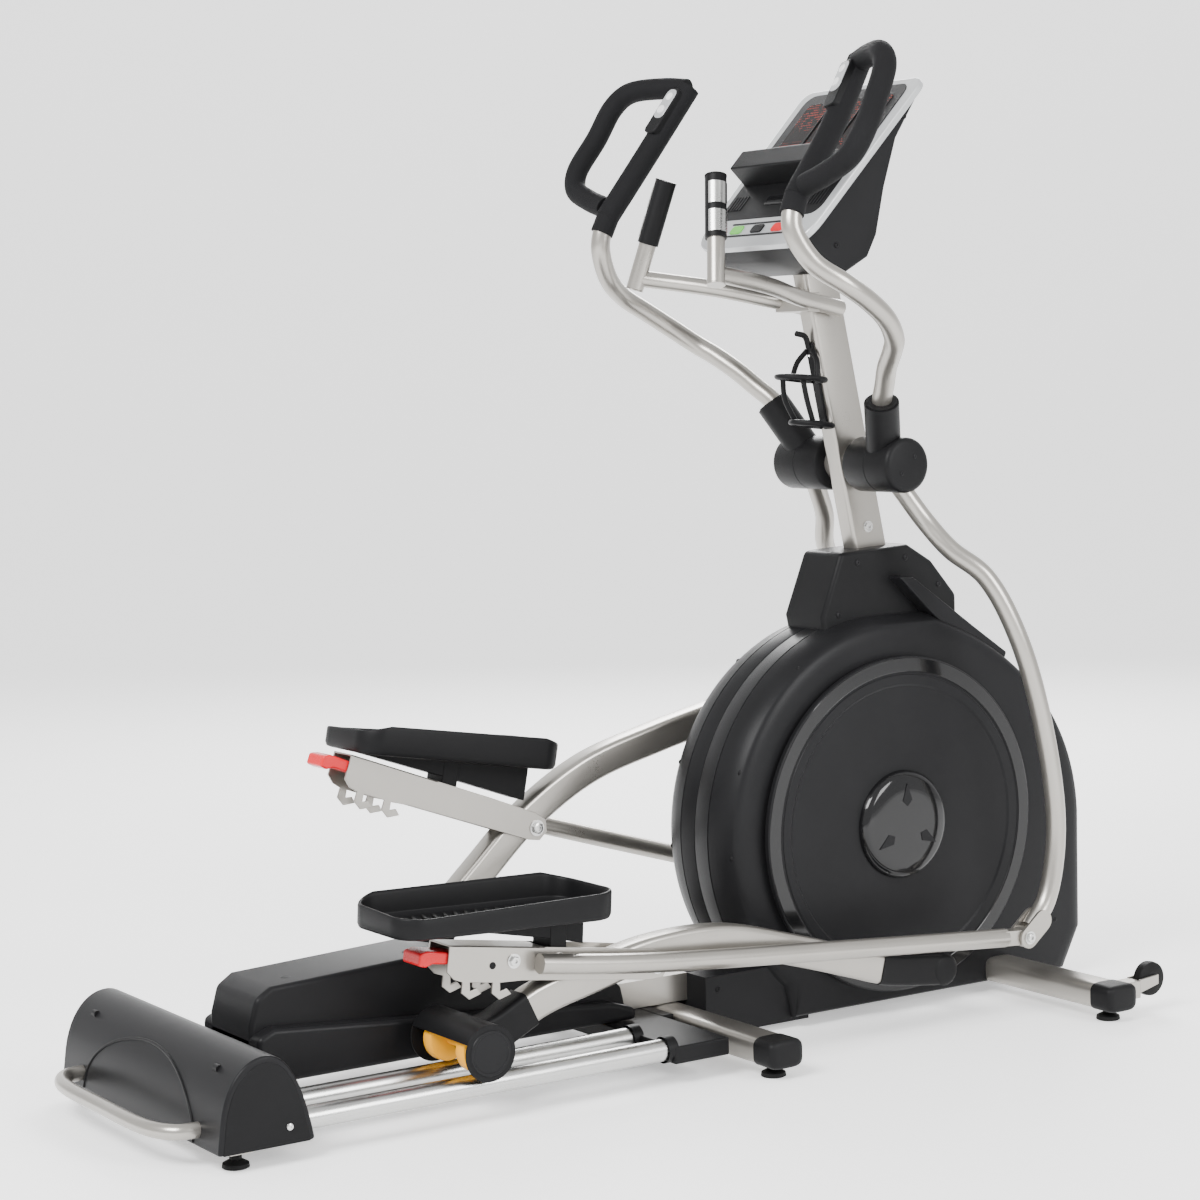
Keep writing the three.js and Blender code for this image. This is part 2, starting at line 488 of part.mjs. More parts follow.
function swingArm(side, s) {
  const { swingTurn } = linkage(s);
  const group = new THREE.Group();
  group.position.set(0, SWING.y, SWING.z);
  group.rotation.x = swingTurn;
  group.scale.x = s;
  root.add(group);
  const sleeveTop = [162, -52, 116];
  const barrel = axle(HUB.inner, HUB.outer, 0, 0, HUB.radius, 24);
  const sleeve = bar([104, 0, 0], sleeveTop, HUB.sleeveRadius, 16);
  add(`swing_hub_${side}`, cut(join(barrel, sleeve), axle(0, 167, 0, 0, SWING.axleRadius + 0.5, 20),
    sleeveRoom(UPPER_TUBE), sleeveRoom(LOWER_TUBE)), blackPlastic, group);
  add(`swing_arm_upper_${side}`, tube(UPPER_TUBE, SWING.tubeRadius - GAP, 22, 10), silverPaint, group);
  const forkPlate = (x) => slab(strip([
    [SWING.clevisY - 12, SWING.clevisZ - 10], [SWING.clevisY + 8, SWING.clevisZ + 7],
    [SWING.clevisY + 40, SWING.clevisZ + 32]], 22, 3), x, x + 5);
  const bolt = axle(LINK.x - 21, LINK.x + 21, SWING.clevisY, SWING.clevisZ, PIVOT.boltRadius, 12);
  add(`swing_arm_lower_${side}`, join(tube(LOWER_TUBE, SWING.tubeRadius - GAP, 18, 10),
    forkPlate(LINK.x - 18.5), forkPlate(LINK.x + 13.5),
    bar([LINK.x, 205, -848], [LINK.x, 190, -862], 15, 12), bolt), silverPaint, group);
  const keypad = (extra) => box([-13 - extra, 13 + extra], [-12 - extra, 12 + extra], [0, 7]);
  const alongGrip = new THREE.Vector3(-44, 167, 241).normalize();
  const facing = new THREE.Vector3(0, -1, 0).addScaledVector(alongGrip, alongGrip.y).normalize();
  const across = new THREE.Vector3().crossVectors(alongGrip, facing);
  const placed = new THREE.Matrix4().makeBasis(across, alongGrip, facing).setPosition(260, -197, 660);
  const place = (shape, lift) => solid(geometryOf(shape)
    .applyMatrix4(new THREE.Matrix4().makeTranslation(0, 0, lift)).applyMatrix4(placed));
  const stem = tube([...UPPER_TUBE.slice(9), [280, -315, 508]], SWING.tubeRadius + LOOSE, 8, 10);
  const pod = place(box([-17, 17], [-50, 50], [0, 8]), FOAM_RADIUS - 4);
  const grip = join(tube(GRIP_MAIN, FOAM_RADIUS, 3, 10), tube(GRIP_LOOP, FOAM_RADIUS - 1, 18, 8), pod);
  add(`hand_grip_${side}`, largest(cut(grip, stem, place(keypad(0.6), FOAM_RADIUS - 1))), foam, group);
  add(`grip_key_${side}`, place(keypad(0), FOAM_RADIUS + 1.8), greyPlastic, group);
}

// ---- Pedal links: tube, channel, pedal and tilt lever. Drawn from the clevis, reaching back along -y ----
const CHANNEL = { rise: -4.5, end: -415, hingeY: -200, hingeZ: 26, leverY: -398, leverZ: 6 };
// back and tilt: how far each pedal is set back along its channel, and its tilt in degrees.
const PEDAL = {
  length: 415, inner: 132, outer: 318, right: { back: 120, tilt: 5 }, left: { back: 0, tilt: 9.5 } };
// Inner and outer x of what fits between the channel's cheeks.
const CLEAR = {
  inner: LINK.plateInner + LINK.plateThickness + 1, outer: LINK.plateOuter - LINK.plateThickness - 1 };

// Moves a shape drawn about the rail arm bolt to its place behind the clevis.
const behindBolt = (shape) => shape.rotate([CHANNEL.rise, 0, 0]).translate([0, -LINK.length, 0]);

function channelCheek() {
  const hook = (y) => [
    [y, -32], [y, -50], [y + 16, -60], [y + 38, -50], [y + 28, -41], [y + 16, -46], [y + 14, -32]];
  return [
    [14, -20], [24, 0], [14, 20], [-10, 26], [-120, 28], [CHANNEL.end, 28], [CHANNEL.end, -16],
    [CHANNEL.end + 14, -28], ...hook(-384), ...hook(-326), [-270, -28], [-10, -25]].reverse();
}

function pedalLink(side, s) {
  const { clevis, linkTurn } = linkage(s);
  const group = new THREE.Group();
  group.position.set(0, clevis.x, clevis.y);
  group.rotation.x = linkTurn;
  group.scale.x = s;
  root.add(group);
  const boltRoom = axle(LINK.x - 30, LINK.x + 30, 0, 0, PIVOT.boltRadius + 0.5, 12);
  const eye = cut(join(axle(LINK.x - 12.5, LINK.x + 12.5, 0, 0, 19, 20),
    box([LINK.x - 12.5, LINK.x + 12.5], [-52, 0], [-15, 15])), boltRoom);
  const spar = tube([[LINK.x, -45, 0], [LINK.x, -400, 3], [LINK.x, -800, 8], [LINK.x - 2, -940, 14],
    [LINK.x - 5, -1060, 22]], LINK.tubeRadius, 9, 10);
  const cheeks = [
    slab(channelCheek(), LINK.plateInner, LINK.plateInner + LINK.plateThickness),
    slab(channelCheek(), LINK.plateOuter - LINK.plateThickness, LINK.plateOuter)];
  const across = (y, z, radius) => axle(LINK.plateInner, LINK.plateOuter, y, z, radius, 12);
  const web = box([LINK.plateInner, LINK.plateOuter], [CHANNEL.end, CHANNEL.hingeY - 30], [25, 28]);
  const channel = join(...cheeks, web,
    across(0, 0, PIVOT.boltRadius), across(CHANNEL.hingeY, CHANNEL.hingeZ - 16, 5),
    across(CHANNEL.leverY, CHANNEL.leverZ, 4));
  add(`pedal_link_${side}`, join(eye, spar, behindBolt(channel)), silverPaint, group);
  const lever = cut(box([CLEAR.inner, CLEAR.outer], [-464, -386], [-4, 15]),
    axle(150, 290, CHANNEL.leverY, CHANNEL.leverZ, 4.6, 12));
  add(`tilt_lever_${side}`, behindBolt(lever), redPlastic, group);
  pedal(side, group);
}

function pedal(side, group) {
  const x0 = PEDAL.inner;
  const x1 = PEDAL.outer;
  const { back, tilt } = PEDAL[side];
  const rear = -PEDAL.length;
  const moved = (outline) => outline.map(([y, z]) => [y - back, z]);
  const floorSlab = slab(moved([
    [-8, 78], [rear + 8, 68], [rear, 110], [rear + 8, 112], [rear + 16, 78], [-8, 88]]).reverse(), x0, x1);
  const innerWall = slab(moved([
    [0, 78], [0, 126], [-60, 138], [-280, 138], [-360, 126], [rear + 6, 111], [rear + 8, 69]]), x0, x0 + 7);
  const outerWall = slab(moved([
    [0, 78], [0, 128], [-100, 118], [-190, 104], [rear + 6, 104], [rear + 8, 69]]), x1 - 7, x1);
  const frontWall = box([x0, x1], [-8 - back, -back], [78, 127]);
  const pinZ = CHANNEL.hingeZ - 16;
  const lug = join(
    box([CLEAR.inner, CLEAR.outer], [CHANNEL.hingeY - 16, CHANNEL.hingeY + 16], [pinZ + 4, 82]),
    axle(CLEAR.inner, CLEAR.outer, CHANNEL.hingeY, pinZ, 12, 16));
  const shape = cut(join(floorSlab, innerWall, outerWall, frontWall, lug),
    axle(150, 290, CHANNEL.hingeY, pinZ, 5.6, 12));
  const tilted = shape.translate([0, -CHANNEL.hingeY, -pinZ]).rotate([tilt, 0, 0])
    .translate([0, CHANNEL.hingeY, pinZ]);
  add(`pedal_${side}`, behindBolt(tilted), blackPlastic, group);
}

// ---- Rail arms: arm, roller pair and roller cover. Drawn from the crank pin, reaching back along -y ----
function railArm(side, s) {
  const { pin, armTurn } = linkage(s);
  const group = new THREE.Group();
  group.position.set(0, pin.x, pin.y);
  group.rotation.x = armTurn;
  group.scale.x = s;
  root.add(group);
  const inner = RAIL_ARM.x - RAIL_ARM.halfWidth;
  const outer = RAIL_ARM.x + RAIL_ARM.halfWidth;
  const end = -RAIL_ARM.length;
  const spine = [
    [end, 0], [-960, 12], [-871, 54], [-773, 80], [-643, 108], [-491, 110], [-329, 72], [-211, 38],
    [-133, 16], [0, 0]];
  const body = slab(strip(spine, RAIL_ARM.halfHeight, 20).reverse(), inner, outer);
  const arm = cut(join(body, axle(inner, outer, 0, 0, RAIL_ARM.halfHeight, 20),
    axle(inner, outer, end, 0, RAIL_ARM.halfHeight, 20)),
    axle(0, 400, -PIVOT.u, PIVOT.v, PIVOT.boltRadius + 0.5, 16),
    axle(0, 400, end, 0, ROLLER.axleRadius + 0.5, 16));
  add(`rail_arm_${side}`, arm, silverPaint, group);
  const half = ROLLER.width / 2;
  add(`rail_roller_${side}`, join(axle(138, 308, end, 0, ROLLER.axleRadius, 12),
    axle(RAIL.inner - half, RAIL.inner + half, end, 0, ROLLER.radius, 28),
    axle(RAIL.outer - half, RAIL.outer + half, end, 0, ROLLER.radius, 28)), yellowPlastic, group);
  const level = new THREE.Group();
  level.position.set(0, end, 0);
  level.rotation.x = -armTurn;
  group.add(level);
  const armRoom = (shape) => solid(geometryOf(shape)
    .applyMatrix4(new THREE.Matrix4().makeTranslation(0, -end, 0))
    .applyMatrix4(new THREE.Matrix4().makeRotationX(armTurn)));
  const wide = join(
    slab(strip(spine, RAIL_ARM.halfHeight + LOOSE, 20).reverse(), inner - GAP, outer + GAP),
    axle(inner - GAP, outer + GAP, end, 0, RAIL_ARM.halfHeight + GAP, 20));
  add(`roller_cover_${side}`, cut(axle(134, 314, 0, 0, 47, 28), axle(138, 310, 0, 0, 41.5, 28),
    box([138, 310], [-60, 60], [-60, -14]), armRoom(wide)), blackPlastic, level);
}

baseFrame();
rearParts();
mast();
drive();
housing();
consoleParts();
handlebar();
bottleCage();
for (const [side, s] of [["right", 1], ["left", -1]]) {
  swingArm(side, s);
  pedalLink(side, s);
  railArm(side, s);
}

export default root;
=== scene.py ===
import math

import bmesh
import bpy
import numpy as np
from mathutils import Matrix


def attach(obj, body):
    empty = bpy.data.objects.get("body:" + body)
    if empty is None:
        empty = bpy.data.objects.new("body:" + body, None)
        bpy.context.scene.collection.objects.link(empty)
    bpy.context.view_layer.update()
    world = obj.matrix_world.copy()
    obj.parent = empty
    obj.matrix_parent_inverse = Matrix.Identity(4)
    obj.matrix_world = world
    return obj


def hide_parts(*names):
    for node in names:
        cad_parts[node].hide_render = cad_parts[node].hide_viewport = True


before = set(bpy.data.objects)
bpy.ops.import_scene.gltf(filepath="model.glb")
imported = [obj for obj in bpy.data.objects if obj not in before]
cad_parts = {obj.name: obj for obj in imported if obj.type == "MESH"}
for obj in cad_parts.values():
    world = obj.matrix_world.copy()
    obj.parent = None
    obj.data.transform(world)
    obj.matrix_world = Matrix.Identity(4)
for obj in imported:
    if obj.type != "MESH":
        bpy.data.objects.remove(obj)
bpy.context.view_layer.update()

# ---- Camera ----
# Long lens, a little above hip height, off the right rear corner of the machine.
def facing_from(back, position, roll=0.0):
    """The placing of what looks along minus its back direction, level with the floor and then rolled."""
    right = np.cross([0, 0, 1], back)
    right /= np.linalg.norm(right)
    up = np.cross(back, right)
    c, s = math.cos(roll), math.sin(roll)
    turned = [c * right + s * up, c * up - s * right, back, position]
    return Matrix([*np.array(turned, float).T.tolist(), [0, 0, 0, 1]])


def aim(position, azimuth, elevation, roll, lens):
    a, e = math.radians(azimuth), math.radians(elevation)
    back = np.array([math.sin(a) * math.cos(e), -math.cos(a) * math.cos(e), math.sin(e)])
    cam = bpy.data.objects.new("camera", bpy.data.cameras.new("camera"))
    cam.data.lens = lens
    cam.data.sensor_width = 36
    cam.data.dof.use_dof = False
    cam.matrix_world = facing_from(back, position, math.radians(roll))
    bpy.context.scene.collection.objects.link(cam)
    bpy.context.scene.camera = cam


aim((4.119, -2.7685, 1.236), 56.44, 4.98, -1.33, 84.15)

# ---- Housing ----
# Two moulded shells that meet on the centre line, with broad rounded shoulders, a skirt behind, and the
# tower around the foot of the mast. Screws hold them together from the sides.
SHIFT = np.array([0, 545.5, 0])


def still(points):
    return np.asarray(points, float)


def piece(name, parts, mat, body, stands_for=(), place=still, bevel=0, smooth=40):
    """One object from (vertices, faces) parts. bevel rounds its edges by that many millimetres."""
    verts, faces, count = [], [], 0
    for v, f in parts:
        verts.append(place(v))
        faces += [[i + count for i in face] for face in f]
        count += len(v)
    v = (np.concatenate(verts) + SHIFT) / 1000
    name = name.replace(" ", "_")
    mesh = bpy.data.meshes.new(name)
    mesh.from_pydata(v.tolist(), [], faces)
    skin = bmesh.new()
    skin.from_mesh(mesh)
    bmesh.ops.recalc_face_normals(skin, faces=skin.faces)
    skin.to_mesh(mesh)
    skin.free()
    mesh.materials.append(mat)
    obj = bpy.data.objects.new(name, mesh)
    bpy.context.scene.collection.objects.link(obj)
    mesh.shade_smooth()
    mesh.set_sharp_from_angle(angle=math.radians(smooth))
    if bevel:
        rounding = obj.modifiers.new("rounded edges", "BEVEL")
        rounding.width = bevel / 1000
        rounding.segments = 3
        rounding.limit_method = "ANGLE"
        rounding.angle_limit = math.radians(35)
        rounding.harden_normals = True
    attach(obj, body)
    if stands_for:
        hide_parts(*stands_for)
    return obj


def grid(rings, wrap=True, caps=True):
    """Joins rings of points, all of one length, into a skin. Each four-sided face takes a point, the next
    one round, and the same two of the following ring."""
    rings = np.asarray(rings, float)
    n, m = rings.shape[:2]
    i, j = np.meshgrid(np.arange(n - 1) * m, np.arange(m if wrap else m - 1), indexing="ij")
    k = (j + 1) % m
    faces = np.stack([i + j, i + k, i + m + k, i + m + j], 2).reshape(-1, 4).tolist()
    if caps:
        faces += [list(range(m))[::-1], list(range((n - 1) * m, n * m))]
    return rings.reshape(-1, 3), faces


def lathe(profile, y, z, sides=72):
    """Turns (x, radius) points about an axle lying along X."""
    a = np.linspace(0, 2 * math.pi, sides, endpoint=False)
    return grid([np.stack([np.full(sides, x), y + r * np.cos(a), z + r * np.sin(a)], 1) for x, r in profile])


def sweep(line, section):
    """Carries a flat section of (across, up) points along a line. It starts level with X where it can."""
    line = np.asarray(line, float)
    tangent = np.gradient(line, axis=0)
    tangent /= np.linalg.norm(tangent, axis=1)[:, None]
    side = np.array([1.0, 0, 0]) if abs(tangent[0][0]) < 0.8 else np.array([0, 1.0, 0])
    rings = []
    for p, t in zip(line, tangent):
        side = side - t * (side @ t)
        side /= np.linalg.norm(side)
        up = np.cross(side, t)
        rings.append(p + section[:, :1] * side + section[:, 1:] * up)
    return grid(rings)


def rounded(half_w, half_h, corner, steps=5):
    """A rectangle with round corners."""
    out = []
    for k, (sx, sy) in enumerate([(1, 1), (-1, 1), (-1, -1), (1, -1)]):
        a = np.linspace(0, math.pi / 2, steps) + k * math.pi / 2
        out.append(np.stack([sx * (half_w - corner) + corner * np.cos(a),
                             sy * (half_h - corner) + corner * np.sin(a)], 1))
    return np.concatenate(out)


def slab(outline, x0, x1):
    """A flat outline in (y, z) made into a plate between two x positions."""
    o = np.asarray(outline, float)
    return grid([np.column_stack([np.full(len(o), x), o]) for x in (x0, x1)])


def block(x, y, z):
    return slab([(y[0], z[0]), (y[1], z[0]), (y[1], z[1]), (y[0], z[1])], *x)


def screw_head(x, y, z, side, radius=6.5, height=3.0):
    x1 = x + side * height
    return lathe([(x, radius), (x + side * height * 0.6, radius * 0.9), (x1, radius * 0.55),
                  (x1, radius * 0.3),
                  (x1 - side * 1.2, radius * 0.28), (x1 - side * 1.2, 0.1)], y, z, 20)


class Wire:
    """A socket of a shader. Sums, products and comparisons of sockets add the nodes that work them out."""

    def __init__(self, tree, socket=None):
        self.tree, self.socket = tree, socket

    def node(self, kind, settings, sockets, output=0):
        """Adds one node, gives it its settings, then a value or a link for each of the named sockets."""
        node = self.tree.nodes.new("ShaderNode" + kind)
        for key, value in settings.items():
            setattr(node, key, value)
        for key, value in sockets.items():
            if isinstance(value, Wire):
                value.into(node.inputs[key])
            else:
                node.inputs[key].default_value = value
        return Wire(self.tree, node.outputs[output])

    def into(self, port):
        self.tree.links.new(self.socket, port)

    def calc(self, operation, other):
        return self.node("Math", {"operation": operation}, {0: self, 1: other})

    def __add__(self, other):
        return self.calc("ADD", other)

    def __mul__(self, other):
        return self.calc("MULTIPLY", other)

    def __gt__(self, limit):
        return self.calc("GREATER_THAN", limit)

    def __lt__(self, limit):
        return self.calc("LESS_THAN", limit)

    __radd__ = __add__
    __rmul__ = __mul__


def noise(wire, scale, stretch=(1, 1, 1), detail=4.0):
    """Noise on the piece's own coordinates, drawn out along the axes that stretch makes small."""
    place = wire.node("TexCoord", {}, {}, "Object")
    place = wire.node("Mapping", {}, {"Vector": place, "Scale": stretch})
    return wire.node("TexNoise", {}, {"Vector": place, "Scale": scale, "Detail": detail}, "Fac")


def mix(amount, low, high):
    """A colour that runs from low to high with the amount."""
    return amount.node("Mix", {"data_type": "RGBA"}, {0: amount, 6: (*low, 1), 7: (*high, 1)}, 2)


def finish(name, dark, light, rough, metal=0.0, grain=900.0, depth=0.05, stretch=(1, 1, 1), coat=0.0,
           spread=0.08, patch=9.0):
    """Two close shades mixed by broad and fine noise, which also sway the roughness; the fine one is
    the grain of the relief."""
    mat = bpy.data.materials.new(name)
    mat.use_nodes = True
    tree = mat.node_tree
    ports = tree.nodes["Principled BSDF"].inputs
    ports["Metallic"].default_value = metal
    ports["Coat Weight"].default_value = coat
    ports["Coat Roughness"].default_value = 0.08
    ports["Specular IOR Level"].default_value = 0.5 if metal else 0.10
    wire = Wire(tree)
    broad = noise(wire, patch)
    fine = noise(wire, grain, stretch, 2.0)
    mix(broad * 0.7 + fine * 0.3, dark, light).into(ports["Base Color"])
    (broad * spread + fine * spread + (rough - spread)).into(ports["Roughness"])
    relief = wire.node("Bump", {}, {"Strength": depth, "Distance": 0.001, "Height": fine})
    relief.into(ports["Normal"])
    return mat


BLACK = finish("grained black plastic", (0.0045, 0.0045, 0.005), (0.009, 0.009, 0.0095), 0.40, 0, 1100, 0.25)
GREY = finish("charcoal plastic", (0.007, 0.007, 0.0075), (0.012, 0.012, 0.013), 0.36, 0, 900, 0.18)


def housing_outline(inset):
    """The side outline, drawn inside its rounded shoulder by the inset."""
    radius, cz, front = 388 - inset, 355, 482 - inset
    a = np.linspace(math.pi + math.asin((cz - 16 - inset * 0.3 - 60) / radius), math.pi / 2, 90)
    arc = np.stack([radius * np.cos(a), cz + radius * np.sin(a)], 1)
    top = np.array([110, cz + radius])
    p = np.array([top, (250, 700 - inset), (470 - inset, 560), (front, 330)], float)
    t = np.linspace(0, 1, 40)[:, None]
    slope = (1 - t) ** 3 * p[0] + 3 * (1 - t) ** 2 * t * p[1] + 3 * (1 - t) * t ** 2 * p[2] + t ** 3 * p[3]
    bottom = 16 + inset * 0.3
    foot = [(front, 100), (440 - inset, bottom), (-240, bottom)]
    return np.concatenate([arc, slope, foot])


for side, name in ((1, "right"), (-1, "left")):
    rings = [np.column_stack([np.full(133, side * x), housing_outline(d)]) for x, d in
             [(0.3, 3.0), (0.5, 1.2), (2.5, 0.4), (40.5, 0.0), (41.2, 2.0), (43.0, 2.0), (43.7, 0.3),
              (60, 2.5),
              (80, 8), (95, 15.5), (98.5, 18.5), (101.5, 23), (104, 31), (105.4, 40), (106, 50)]]
    parts = [grid(rings), block((side * 0.5, side * 88), (-432, -200), (12, 120))]
    piece("housing shell " + name, parts, GREY, "base", ["housing_" + name], bevel=1.5,
          smooth=32)
    screws = [screw_head(side * x, y, z, side, 6) for x, y, z in
              [(87, -405, 95), (87, -405, 36), (104, 395, 120), (104, 250, 60), (104, 330, 560)]]
    piece("housing screws " + name, screws, BLACK, "base")
    # Black screw heads on the shoulder; their dark colour is partly the screws' own and partly painted shade
    # of the recesses they sit in.
    rim = [screw_head(side * 92, 371 * math.cos(q), 355 + 371 * math.sin(q), side, 5.5) for q in (2.18,
                                                                                                  2.79, 3.21)]
    piece("shoulder screws " + name, rim, BLACK, "base")
    fin = [(28, 812), (62, 810), (215, 704), (292, 652), (280, 626), (205, 650), (92, 752)]
    piece("scoop fin " + name, [slab(fin, side * 54, side * 92)], GREY, "base", bevel=4)
    slats = [sweep([(side * 62, 118 + 22 * k, 722 - 17 * k), (side * 96, 122 + 22 * k, 706 - 17 * k)],
                   rounded(2.4, 8, 2)) for k in range(7)]
    piece("vent slats " + name, slats, BLACK, "base")

tower = [(-130, 745), (-82, 862), (78, 870), (136, 836), (196, 768), (196, 700), (-120, 700)]
piece("mast tower", [slab(tower, -58, 58)], BLACK, "base", ["mast_shroud"], bevel=9)
piece("tower screws", [screw_head(s * 58, y, z, s, 5.5) for s in (1, -1) for y, z in
      [(-45, 842), (-92, 748), (70, 845), (150, 790)]], GREY, "base")

# ---- Crank discs ----
# Turned discs with a gloss rim band between grooves, a dished face, and a domed hub cap with three darts.
# The pin for the rail arm stands out near the rim.
GLOSS = finish("gloss black band", (0.004, 0.004, 0.0045), (0.007, 0.007, 0.0075), 0.14, 0, 400, 0.02,
               coat=0.5)
PLATE = finish("zinc plate", (0.55, 0.55, 0.54), (0.68, 0.68, 0.67), 0.28, 1.0, 300, 0.05)
STEEL = finish("drawn steel", (0.42, 0.42, 0.41), (0.58, 0.58, 0.57), 0.28, 1.0, 500, 0.04, (1, 0.04, 1))
IRON = finish("cast iron", (0.10, 0.10, 0.105), (0.17, 0.17, 0.175), 0.5, 0.7, 300, 0.3)
RUBBER = finish("moulded rubber", (0.005, 0.005, 0.005), (0.010, 0.010, 0.010), 0.56, 0, 800, 0.3)


def dressed(node, mat):
    """A plain part shown as it is, in its real finish."""
    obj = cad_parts[node]
    obj.data.materials.clear()
    obj.data.materials.append(mat)


for side, name, pin_y, pin_z in ((1, "right", -5.08, 101.05), (-1, "left", 5.08, 608.95)):
    face = [(113, 0.1), (113, 311), (115, 313), (124, 313), (126, 311), (126, 284), (124.6, 283),
            (124.6, 280),
            (126, 279), (125.6, 262), (123, 258), (120, 110), (121, 103)]
    face = [(side * x, r) for x, r in face]
    piece("crank disc " + name, [lathe(face + [(side * 121, 0.1)], 0, 355, 180)], GREY, "crank",
          ["crank_disc_" + name], smooth=25)
    band = [(126.05, 310.5), (126.6, 309.5), (126.6, 286), (126.05, 285)]
    ring = lathe([(side * x, r) for x, r in band + band[:1]], 0, 355, 180)
    piece("gloss band " + name, [(ring[0], ring[1][:-2])], GLOSS, "crank", smooth=25)
    cap = [(120, 101), (126, 101), (134, 96), (137.5, 88), (139, 60), (139, 0.1)]
    piece("hub cap " + name, [lathe([(side * x, r) for x, r in cap], 0, 355, 96)], GLOSS, "crank")
    darts = []
    for k in range(3):
        a = math.radians(90 + 120 * k)
        u, v = np.array([math.cos(a), math.sin(a)]), np.array([-math.sin(a), math.cos(a)])
        tip = [u * 78, u * 46 + v * 11, u * 36, u * 46 - v * 11]
        darts.append(slab([(q[0], 355 + q[1]) for q in tip], side * 138.5, side * 140.2))
    piece("hub darts " + name, darts, GREY, "crank")
    piece("crank pin " + name, [lathe([(side * 120, 14), (side * 198, 14), (side * 198, 0.1)], pin_y,
                                      pin_z, 40),
          lathe([(side * 119.8, 24), (side * 128, 24), (side * 130, 21), (side * 130, 14)], pin_y, pin_z,
                40)],
          PLATE, "crank")

dressed("drive_pulley", BLACK)
dressed("crank_axle", STEEL)
dressed("flywheel", IRON)
dressed("drive_belt", RUBBER)

# ---- Mast and fixed handlebar ----
# A leaning rectangular tube with the pivot axle across it, and a bent bar clamped behind it that carries
# two upright grips with pairs of steel contact plates.
SILVER = finish("silver paint", (0.31, 0.295, 0.27), (0.40, 0.38, 0.35), 0.30, 0.85, 700, 0.03, coat=0.1)


def curve(points, steps=10):
    """A smooth line through the points: each span is a cubic whose end slopes weigh the spans beside it."""
    p = np.asarray(points, float)
    p = np.concatenate([[2 * p[0] - p[1]], p, [2 * p[-1] - p[-2]]])
    d = np.sqrt(np.linalg.norm(np.diff(p, axis=0), axis=1))
    line = []
    for i in range(1, len(p) - 2):
        a = ((p[i] - p[i - 1]) / d[i - 1] - (p[i + 1] - p[i - 1]) / (d[i - 1] + d[i])
             + (p[i + 1] - p[i]) / d[i]) * d[i]
        b = ((p[i + 1] - p[i]) / d[i] - (p[i + 2] - p[i]) / (d[i] + d[i + 1])
             + (p[i + 2] - p[i + 1]) / d[i + 1]) * d[i]
        t = np.linspace(0, 1, steps, endpoint=False)[:, None]
        line.append(p[i] + a * t + (-3 * p[i] + 3 * p[i + 1] - 2 * a - b) * t ** 2
                    + (2 * p[i] - 2 * p[i + 1] + a + b) * t ** 3)
    return np.concatenate(line + [p[-2:-1]])


def circle(radius, sides=28):
    a = np.linspace(0, 2 * math.pi, sides, endpoint=False)
    return np.stack([radius * np.cos(a), radius * np.sin(a)], 1)


def tube(points, radius, steps=10):
    return sweep(curve(points, steps), circle(radius))


def bolt_head(x, y, z, side, radius=10.0, height=7.0):
    washer = lathe([(x, radius * 1.35), (x + side * 2, radius * 1.35), (x + side * 2, radius)], y, z, 32)
    head = lathe([(x + side * 2, radius), (x + side * (height - 1), radius), (x + side * height,
                                                                              radius * 0.85),
                  (x + side * height, radius * 0.45), (x + side * (height - 3), radius * 0.42),
                  (x + side * (height - 3), 0.1)], y, z, 6)
    return [washer, head]


def mast_y(z):
    return 179 - (z - 121) * 272 / 1274


column = [np.column_stack([rounded(20, 38.8, 7) + [0, mast_y(z)], np.full(20, z)]) for z in (121, 700,
                                                                                             1393, 1395)]
pivot = [(-166, 0.1), (-166, 10.5), (-164.5, 12), (-37.6, 12), (-37.6, 28), (-36, 30), (36, 30), (37.6, 28),
         (37.6, 12), (164.5, 12), (166, 10.5), (166, 0.1)]
piece("mast tube", [grid(column), lathe(pivot, -15, 1024, 48)], SILVER, "base", ["mast"])
foot, head = np.array([126, -406, 1356.0]), np.array([76, -366, 1548.0])
bars, grips, plates, caps = [], [], [], []
for s in (1, -1):
    m = np.array([s, 1, 1])
    at = lambda t: (foot + (head - foot) * t) * m
    bars.append(tube([(s * 120, -398, 1374), (s * 82, -255, 1353), (s * 48, -160, 1332), (s * 38.5, -60,
                                                                                          1312)],
                     15.4))
    bars.append(sweep([at(t) for t in (0.0, 0.2, 0.45)], circle(16)))
    bars.append(sweep([at(t) for t in (-0.012, 0.0)], circle(17)))
    grips.append(sweep([at(t) for t in (0.415, 0.42, 0.43, 0.7, 0.985, 0.998, 1.0)], circle(19.3)))
    for a, b in ((0.46, 0.66), (0.72, 0.92)):
        q = np.linspace(-1.35, 1.35, 16) + (0 if s > 0 else math.pi)
        shell = [np.stack([w * np.cos(q[::d]), w * np.sin(q[::d])], 1) for w, d in ((20.2, 1), (18.6, -1))]
        plates.append(sweep([at(t) for t in (a, b)], np.concatenate(shell)))
    caps.append(sweep([at(t) for t in (0.985, 1.0)], circle(19.9)))
collar = [(mast_y(1322) - 66, 1308), (mast_y(1322) - 40, 1306), (mast_y(1322) - 40, 1342),
          (mast_y(1322) - 66, 1340)]
piece("handlebar", bars + [slab(collar, -50, 50)], SILVER, "base", ["fixed_handlebar"],
      bevel=1)
piece("grip sleeves", grips, BLACK, "base", ["pulse_grip_right", "pulse_grip_left"])
piece("contact plates", plates, STEEL, "base")
piece("grip caps", caps, RUBBER, "base")
piece("mast bolts", sum([bolt_head(s * 20, mast_y(z), z, s, 8, 6) for s in (1, -1) for z in (1322, 905)], []),
      PLATE, "base")

